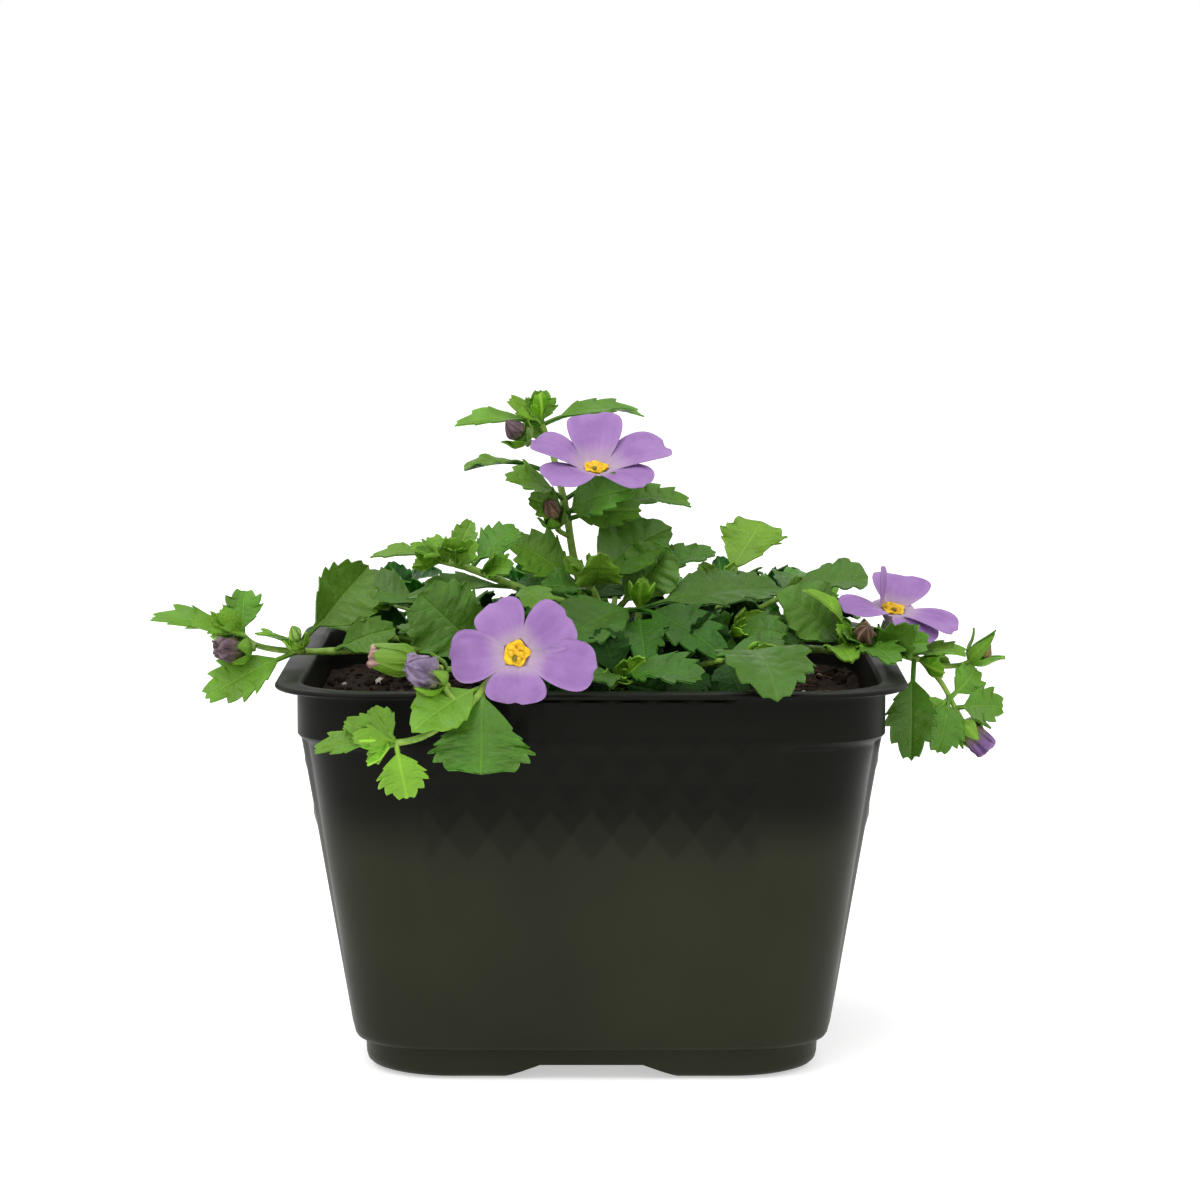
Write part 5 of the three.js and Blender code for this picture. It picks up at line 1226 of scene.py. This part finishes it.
def soil_lift(x, y):
    slow = math.sin(x * 0.21 + 1.3) * math.cos(y * 0.17 - 0.6)
    quick = math.sin(x * 0.63 - y * 0.41) * math.cos(y * 0.71 + x * 0.29)
    return SOIL_ROUGHNESS * (0.6 * slow + 0.4 * quick)


def soil_height(x, y):
    rough = noise.noise(Vector((x * 0.45, y * 0.45, 3.0))) * 0.55
    fine = noise.noise(Vector((x * 1.5, y * 1.5, 9.0))) * 0.35
    return SOIL_TOP + soil_lift(x, y) + rough + fine


def grow_lump(shape, place, size, chance, look):
    """A rough little lump, flattened and turned by chance."""
    points = []
    for ring in range(LUMP_RINGS):
        lift = math.cos(math.pi * ring / (LUMP_RINGS - 1))
        for step in range(LUMP_SIDES):
            angle = math.tau * step / LUMP_SIDES + chance * 7
            wide = math.sqrt(max(0.02, 1 - lift * lift))
            bump = 1 + 0.45 * noise.noise(Vector((lift * 2 + chance * 40, angle, chance * 9)))
            x, y = wide * math.cos(angle) * bump, wide * math.sin(angle) * bump
            points.append((x, y * 0.8, lift * bump * 0.7))
    axis = Vector((math.cos(chance * 20), math.sin(chance * 20), 0.3)).normalized()
    tilt = Matrix.Rotation(chance * 3, 3, axis)
    points = np.array(points) @ np.array(tilt) * size + place
    shape.add(points, lofted(LUMP_RINGS, LUMP_SIDES, turned=True), (chance, 0, 0), (chance, 0, 0), look)


def make_soil():
    shape = Shape()
    half = COLLAR_HALF - WALL - SOIL_GAP
    outline = square_ring(half, 0, 0, places=SOIL_SPOTS)
    rings = []
    for ring in range(SOIL_RINGS + 1):
        part = math.sqrt((ring + 0.15) / (SOIL_RINGS + 0.15))
        points = outline * part
        points[:, 2] = [soil_height(x, y) for x, y, _ in points]
        rings.append(points)
    edge = rings[-1].copy()
    edge[:, 2] = COLLAR_FOOT + 1.4
    rings.append(edge)
    deep_half, deep_bow = body_at(COLLAR_FOOT - 2)
    rings.append(square_ring(deep_half - WALL - 0.2, deep_bow, COLLAR_FOOT - 2, places=SOIL_SPOTS))
    low_half, low_bow = body_at(FOOT_HEIGHT + 4)
    rings.append(square_ring(low_half - WALL - 0.3, low_bow, FOOT_HEIGHT + 4, places=SOIL_SPOTS))
    shape.add(np.concatenate(rings), lofted(len(rings), len(outline), turned=True))
    draws = random_from(SOIL_SEED)
    inside = half - 1.2
    for count, small, large, look in ((CRUMBS, 0.35, 1.15, 0), (PERLITE, 0.45, 1.25, 1)):
        for _ in range(count):
            x, y = inside * (2 * next(draws) - 1), inside * (2 * next(draws) - 1)
            size = small + (large - small) * next(draws) ** 2.5
            chance = next(draws)
            if abs(x) > half - CORNER_RADIUS and abs(y) > half - CORNER_RADIUS:
                x, y = x * 0.85, y * 0.85
            place = np.array([x, y, soil_height(x, y) + size * 0.3])
            grow_lump(shape, place, size, chance, look)
    for _ in range(FIBRES):
        x, y = inside * (2 * next(draws) - 1) * 0.9, inside * (2 * next(draws) - 1) * 0.9
        turn = next(draws) * 6.28
        long = 1.5 + 3.5 * next(draws)
        way = np.array([math.cos(turn), math.sin(turn), 0.0]) * long
        start = np.array([x, y, soil_height(x, y) + 0.35])
        bits = Curve([start - way / 2, start + np.array([0, 0, 0.25]), start + way / 2])
        grow_stem_tube(shape, bits, *FIBRE_RADIUS, look=2)
    shape.piece("soil_crumbly", [SOIL, PERLITE_LOOK, FIBRE], "soil", "soil")


# Looks

def display(red, green, blue):
    """A display colour, 0 to 255, as the linear colour that a shader takes."""
    parts = [value / 255 for value in (red, green, blue)]
    parts = [part / 12.92 if part <= 0.04045 else ((part + 0.055) / 1.055) ** 2.4 for part in parts]
    return (*parts, 1.0)


class Look:
    """A procedural material, put together step by step round one shader."""

    def __init__(self, name, **fixed):
        self.made = bpy.data.materials.new(name)
        self.made.use_nodes = True
        self.tree = self.made.node_tree
        self.shader = self.tree.nodes["Principled BSDF"]
        for socket, value in fixed.items():
            self.shader.inputs[socket.replace("_", " ")].default_value = value

    def add(self, kind, inputs, **settings):
        node = self.tree.nodes.new(kind)
        for name, value in settings.items():
            setattr(node, name, value)
        for socket, value in inputs.items():
            if isinstance(value, bpy.types.NodeSocket):
                self.tree.links.new(value, node.inputs[socket])
            else:
                node.inputs[socket].default_value = value
        return node

    def give(self, socket, value):
        self.tree.links.new(value, self.shader.inputs[socket])

    def read(self, label):
        """The three numbers that each point carries under a label."""
        attribute = self.add("ShaderNodeAttribute", {}, attribute_name=label)
        return self.add("ShaderNodeSeparateXYZ", {0: attribute.outputs["Vector"]}).outputs

    def noise(self, scale, detail):
        place = self.add("ShaderNodeTexCoord", {}).outputs["Object"]
        inputs = {"Vector": place, "Scale": scale, "Detail": detail}
        return self.add("ShaderNodeTexNoise", inputs).outputs["Fac"]

    def math(self, operation, first, second=0.0):
        return self.add("ShaderNodeMath", {0: first, 1: second}, operation=operation).outputs[0]

    def times(self, first, second):
        return self.math("MULTIPLY", first, second)

    def plus(self, first, second):
        return self.math("ADD", first, second)

    def less(self, first, second):
        return self.math("SUBTRACT", first, second)

    def size(self, value):
        return self.math("ABSOLUTE", value)

    def span(self, value, low, high, to_low=0.0, to_high=1.0):
        """Carries a value from one range to another, eased at both ends."""
        inputs = {"Value": value, "From Min": low, "From Max": high, "To Min": to_low, "To Max": to_high}
        return self.add("ShaderNodeMapRange", inputs, interpolation_type="SMOOTHSTEP").outputs[0]

    def mix(self, part, *colours):
        """From the first colour to the second: display colours, or what a node gives."""
        first, second = (display(*colour) if isinstance(colour, tuple) else colour for colour in colours)
        return self.add("ShaderNodeMix", {0: part, 6: first, 7: second}, data_type="RGBA").outputs[2]

    def shade(self, colour, value):
        inputs = {"Color": colour, "Value": value}
        return self.add("ShaderNodeHueSaturation", inputs).outputs["Color"]

    def bump(self, height, distance):
        node = self.add("ShaderNodeBump", {"Height": height, "Distance": distance, "Strength": 1.0})
        self.give("Normal", node.outputs[0])


def leaf_look():
    look = Look("leaf_green", Subsurface_Weight=0.1,
                Subsurface_Radius=(0.5, 1.0, 0.2), Subsurface_Scale=0.0006)
    across, vein, reach = look.read("marks")
    tone, chance, under = look.read("tint")
    mottle = look.span(look.noise(420.0, 5.0), 0.3, 0.7)
    green = look.mix(mottle, (20, 82, 14), (38, 110, 26))
    # Painted shade: tones below 0 mix towards this dark green, with darker veins and undersides, for leaves
    # inside and low in the plant
    painted_shade_green = look.mix(mottle, (6, 30, 4), (12, 44, 8))
    young = look.mix(mottle, (72, 124, 8), (98, 150, 18))
    colour = look.mix(look.span(tone, -1.0, 0.0), painted_shade_green, green)
    colour = look.mix(look.span(tone, 0.0, 1.0), colour, young)
    nearest = look.size(look.less(look.math("FRACT", look.plus(vein, 0.5)), 0.5))
    fading = look.span(reach, 0.0, 1.0, 1.0, 0.35)
    side_vein = look.times(look.span(nearest, 0.0, 0.13, 1.0, 0.0), fading)
    side_vein = look.times(side_vein, look.span(reach, 0.0, 0.05))
    rib = look.span(look.size(across), 0.1, 0.42, 1.0, 0.0)
    lines = look.math("MAXIMUM", look.times(side_vein, 0.45), look.times(rib, 0.75))
    pale_line = look.mix(look.span(tone, -1.0, 0.0), (34, 72, 20), (76, 134, 34))
    pale_line = look.mix(look.span(tone, 0.0, 1.0), pale_line, (142, 182, 56))
    colour = look.mix(lines, colour, pale_line)
    colour = look.mix(look.times(look.span(reach, 0.88, 1.0), 0.45), colour, pale_line)
    patches = look.span(look.noise(90.0, 2.0), 0.35, 0.65, 0.76, 1.24)
    colour = look.shade(colour, look.times(patches, look.span(chance, 0.0, 1.0, 0.68, 1.3)))
    pale = look.mix(look.span(tone, -1.0, 1.0), (36, 66, 24), (120, 160, 50))
    colour = look.mix(look.times(under, 0.55), colour, pale)
    look.give("Base Color", colour)
    look.give("Roughness", look.span(mottle, 0.0, 1.0, 0.3, 0.44))
    # Leaves with painted shade, below tone 0, also get less specular
    look.give("Specular IOR Level", look.span(tone, -0.9, -0.1, 0.04, 0.22))
    fine = look.less(look.noise(1500.0, 2.0), look.times(lines, 0.7))
    look.bump(fine, 0.00014)
    return look.made


def stalk_look():
    look = Look("stalk_green", Roughness=0.45, Specular_IOR_Level=0.25, Subsurface_Weight=0.12,
                Subsurface_Radius=(0.6, 1.0, 0.3), Subsurface_Scale=0.0008)
    rise, _, _ = look.read("marks")
    streak = look.noise(520.0, 3.0)
    colour = look.mix(look.span(streak, 0.3, 0.7), (98, 136, 44), (136, 166, 70))
    colour = look.mix(look.span(rise, 0.0, 0.22, 0.5, 0.0), colour, (84, 82, 40))
    look.give("Base Color", colour)
    look.give("Roughness", look.span(streak, 0.2, 0.8, 0.38, 0.55))
    look.bump(look.noise(1900.0, 2.0), 0.00012)
    return look.made


def petal_look():
    look = Look("petal_lilac", Specular_IOR_Level=0.15, Subsurface_Weight=0.2,
                Subsurface_Radius=(1.0, 0.7, 1.0), Subsurface_Scale=0.0007)
    along, across, _ = look.read("marks")
    cloud = look.noise(230.0, 3.0)
    colour = look.mix(look.span(cloud, 0.3, 0.7), (136, 102, 156), (152, 120, 170))
    middle = look.times(look.span(along, 0.1, 0.5, 0.0, 1.0), look.span(along, 0.6, 1.0, 1.0, 0.0))
    colour = look.mix(look.times(middle, 0.3), colour, (134, 94, 156))
    waves = look.math("SINE", look.times(across, 24.0))
    veins = look.times(look.span(waves, 0.6, 1.0), look.span(along, 0.15, 0.8, 0.16, 0.0))
    colour = look.mix(veins, colour, (116, 78, 138))
    rim = look.span(look.size(across), 0.75, 1.0, 0.0, 0.25)
    colour = look.mix(rim, colour, (168, 138, 184))
    colour = look.mix(look.span(along, 0.0, 0.36, 0.6, 0.0), colour, (180, 164, 172))
    look.give("Base Color", colour)
    look.give("Roughness", look.span(cloud, 0.2, 0.8, 0.52, 0.68))
    fine = look.plus(look.noise(1700.0, 2.0), look.times(veins, -0.8))
    look.bump(fine, 0.0001)
    return look.made


def plain_look(name, dark, light, scale, depth, roughness=0.6, specular=0.3, **more):
    """A matt surface mottled between two colours, with a grain of its own."""
    look = Look(name, Specular_IOR_Level=specular, Subsurface_Scale=0.0006, **more)
    grain = look.noise(scale, 5.0)
    look.give("Base Color", look.mix(look.span(grain, 0.3, 0.7), dark, light))
    look.give("Roughness", look.span(grain, 0.2, 0.8, roughness - 0.08, roughness + 0.08))
    look.bump(look.noise(scale * 3, 3.0), depth)
    return look.made


def bud_look(name, foot, dark, light, seam):
    """Folded petals, darker along the seams and greener at the foot."""
    look = Look(name, Specular_IOR_Level=0.3, Subsurface_Weight=0.12, Subsurface_Scale=0.0006)
    rise, turn, _ = look.read("marks")
    cloud = look.noise(480.0, 4.0)
    colour = look.mix(look.span(cloud, 0.3, 0.7), dark, light)
    folds = look.plus(look.times(turn, 12 * math.pi), look.times(rise, 3.0))
    folds = look.plus(folds, look.times(cloud, 4.0))
    lines = look.span(look.math("COSINE", folds), -1.0, -0.2, 0.8, 0.0)
    colour = look.mix(lines, colour, seam)
    colour = look.mix(look.span(rise, 0.1, 0.45, 0.85, 0.0), colour, foot)
    look.give("Base Color", colour)
    look.give("Roughness", look.span(cloud, 0.2, 0.8, 0.48, 0.66))
    fine = look.less(look.noise(1800.0, 2.0), lines)
    look.bump(fine, 0.00015)
    return look.made


def crumb_look(name, dark, middle, light, roughness):
    """Loose grains, each with a shade of its own."""
    look = Look(name, Specular_IOR_Level=0.2)
    chance, _, _ = look.read("marks")
    grain = look.noise(700.0, 6.0)
    colour = look.mix(look.span(grain, 0.35, 0.62), dark, middle)
    colour = look.mix(look.span(chance, 0.72, 1.0, 0.0, 0.75), colour, light)
    look.give("Base Color", colour)
    look.give("Roughness", look.span(grain, 0.2, 0.8, roughness - 0.1, roughness + 0.05))
    look.bump(look.noise(1300.0, 6.0), 0.0005)
    return look.made


def plastic_look():
    """Smooth sheet, darkened by a painted reflection in the studded zone, with painted reflection on the
    faces of the studs.
    """
    look = Look("pot_sheet", Specular_IOR_Level=0.06)
    painted_reflection, painted_facet_reflection, _ = look.read("marks")
    cloud = look.noise(30.0, 2.0)
    sheet_colour = look.mix(look.span(cloud, 0.3, 0.7), (35, 37, 26), (40, 42, 30))
    # Painted reflection: the darker colours of the studded zone, set by how each face of a stud slopes
    studs = look.mix(look.span(painted_facet_reflection, 0.2, 0.8), (20, 21, 15), (12, 12, 9))
    look.give("Base Color", look.mix(painted_reflection, sheet_colour, studs))
    look.give("Roughness", look.span(look.noise(90.0, 3.0), 0.2, 0.8, 0.36, 0.44))
    return look.made


LEAF = leaf_look()
STALK = stalk_look()
PETAL = petal_look()
EYE = plain_look("eye_yellow", (212, 168, 14), (234, 196, 36), 700.0, 0.00015,
                 Subsurface_Weight=0.1)
ANTHER = plain_look("anther_yellow", (208, 158, 18), (230, 190, 44), 900.0, 0.00015)
STYLE = plain_look("style_green", (96, 92, 24), (136, 124, 40), 900.0, 0.0001)
SOIL = crumb_look("soil_brown", (26, 19, 14), (50, 37, 28), (92, 72, 54), 0.92)
PERLITE_LOOK = plain_look("perlite_white", (176, 168, 150), (226, 222, 210), 800.0, 0.0004, 0.85)
FIBRE = plain_look("fibre_brown", (84, 60, 38), (136, 104, 70), 600.0, 0.0001, 0.8)
PLASTIC = plastic_look()
# Colours of a bud at its foot, of its petals from dark to light, and of its seams
BUD_COLOURS = {
    "purple": ((150, 146, 74), (100, 68, 118), (134, 100, 150), (60, 36, 76)),
    "purple_grey": ((112, 118, 66), (80, 62, 70), (118, 96, 106), (46, 34, 38)),
    "lilac_grey": ((140, 150, 92), (112, 96, 124), (146, 130, 156), (68, 54, 78)),
    "beige": ((146, 150, 80), (150, 118, 108), (178, 146, 132), (112, 82, 74)),
    "withered": ((112, 112, 56), (92, 68, 54), (132, 102, 84), (58, 42, 34)),
    "green": ((118, 160, 60), (108, 150, 54), (140, 176, 76), (78, 116, 44)),
    "green_brown": ((118, 150, 58), (104, 92, 40), (138, 122, 58), (60, 52, 24)),
}
BUD_LOOKS = {name: bud_look("bud_" + name, *colours) for name, colours in BUD_COLOURS.items()}


# Floor, light and camera

FLOOR_HALF = 6000.0
FLOOR_Z = -0.2
WHITE = (1.0, 1.0, 1.0, 1.0)
PLANT_MIDDLE = (0, 0, 0.06)


def make_floor():
    corners = [(-1, -1), (1, -1), (1, 1), (-1, 1)]
    points = np.array([(x * FLOOR_HALF, y * FLOOR_HALF, FLOOR_Z) for x, y in corners])
    floor = mesh_object("floor", points, [(0, 1, 2, 3)])
    pale = plain_look("floor_pale", (226, 226, 226), (230, 230, 230), 3.0, 0.0, 0.8, 0.0,
                      Emission_Color=WHITE, Emission_Strength=0.5)
    floor.data.materials.append(pale)


def make_sky():
    world = bpy.data.worlds.new("studio")
    bpy.context.scene.world = world
    world.use_nodes = True
    world.node_tree.nodes["Background"].inputs["Color"].default_value = WHITE
    world.node_tree.nodes["Background"].inputs["Strength"].default_value = 1.0


def make_lamp(name, place, width, power):
    lamp = bpy.data.lights.new(name, "AREA")
    lamp.shape = "SQUARE"
    lamp.size = width
    lamp.energy = power
    made = bpy.data.objects.new(name, lamp)
    made.location = place
    made.rotation_euler = (Vector(PLANT_MIDDLE) - Vector(place)).to_track_quat("-Z", "Y").to_euler()
    bpy.context.scene.collection.objects.link(made)


def make_camera():
    lens = bpy.data.cameras.new("camera")
    lens.lens = CAMERA_LENS
    lens.sensor_width = CAMERA_SENSOR
    lens.clip_start = 0.01
    lens.clip_end = 50.0
    camera = bpy.data.objects.new("camera", lens)
    camera.location = [value * MM for value in CAMERA_PLACE]
    camera.rotation_euler = (math.radians(90 + CAMERA_PITCH), 0, 0)
    bpy.context.scene.collection.objects.link(camera)
    bpy.context.scene.camera = camera


make_pot()
make_soil()
for stem_name, stem_plan in STEMS.items():
    grow_stem(stem_name, stem_plan)
make_floor()
make_sky()
make_lamp("key", (-0.3, -0.45, 1.1), 1.0, 8.0)
make_lamp("fill", (0.8, -0.5, 0.6), 0.8, 0.8)
make_camera()
bpy.context.scene.view_settings.view_transform = "Standard"
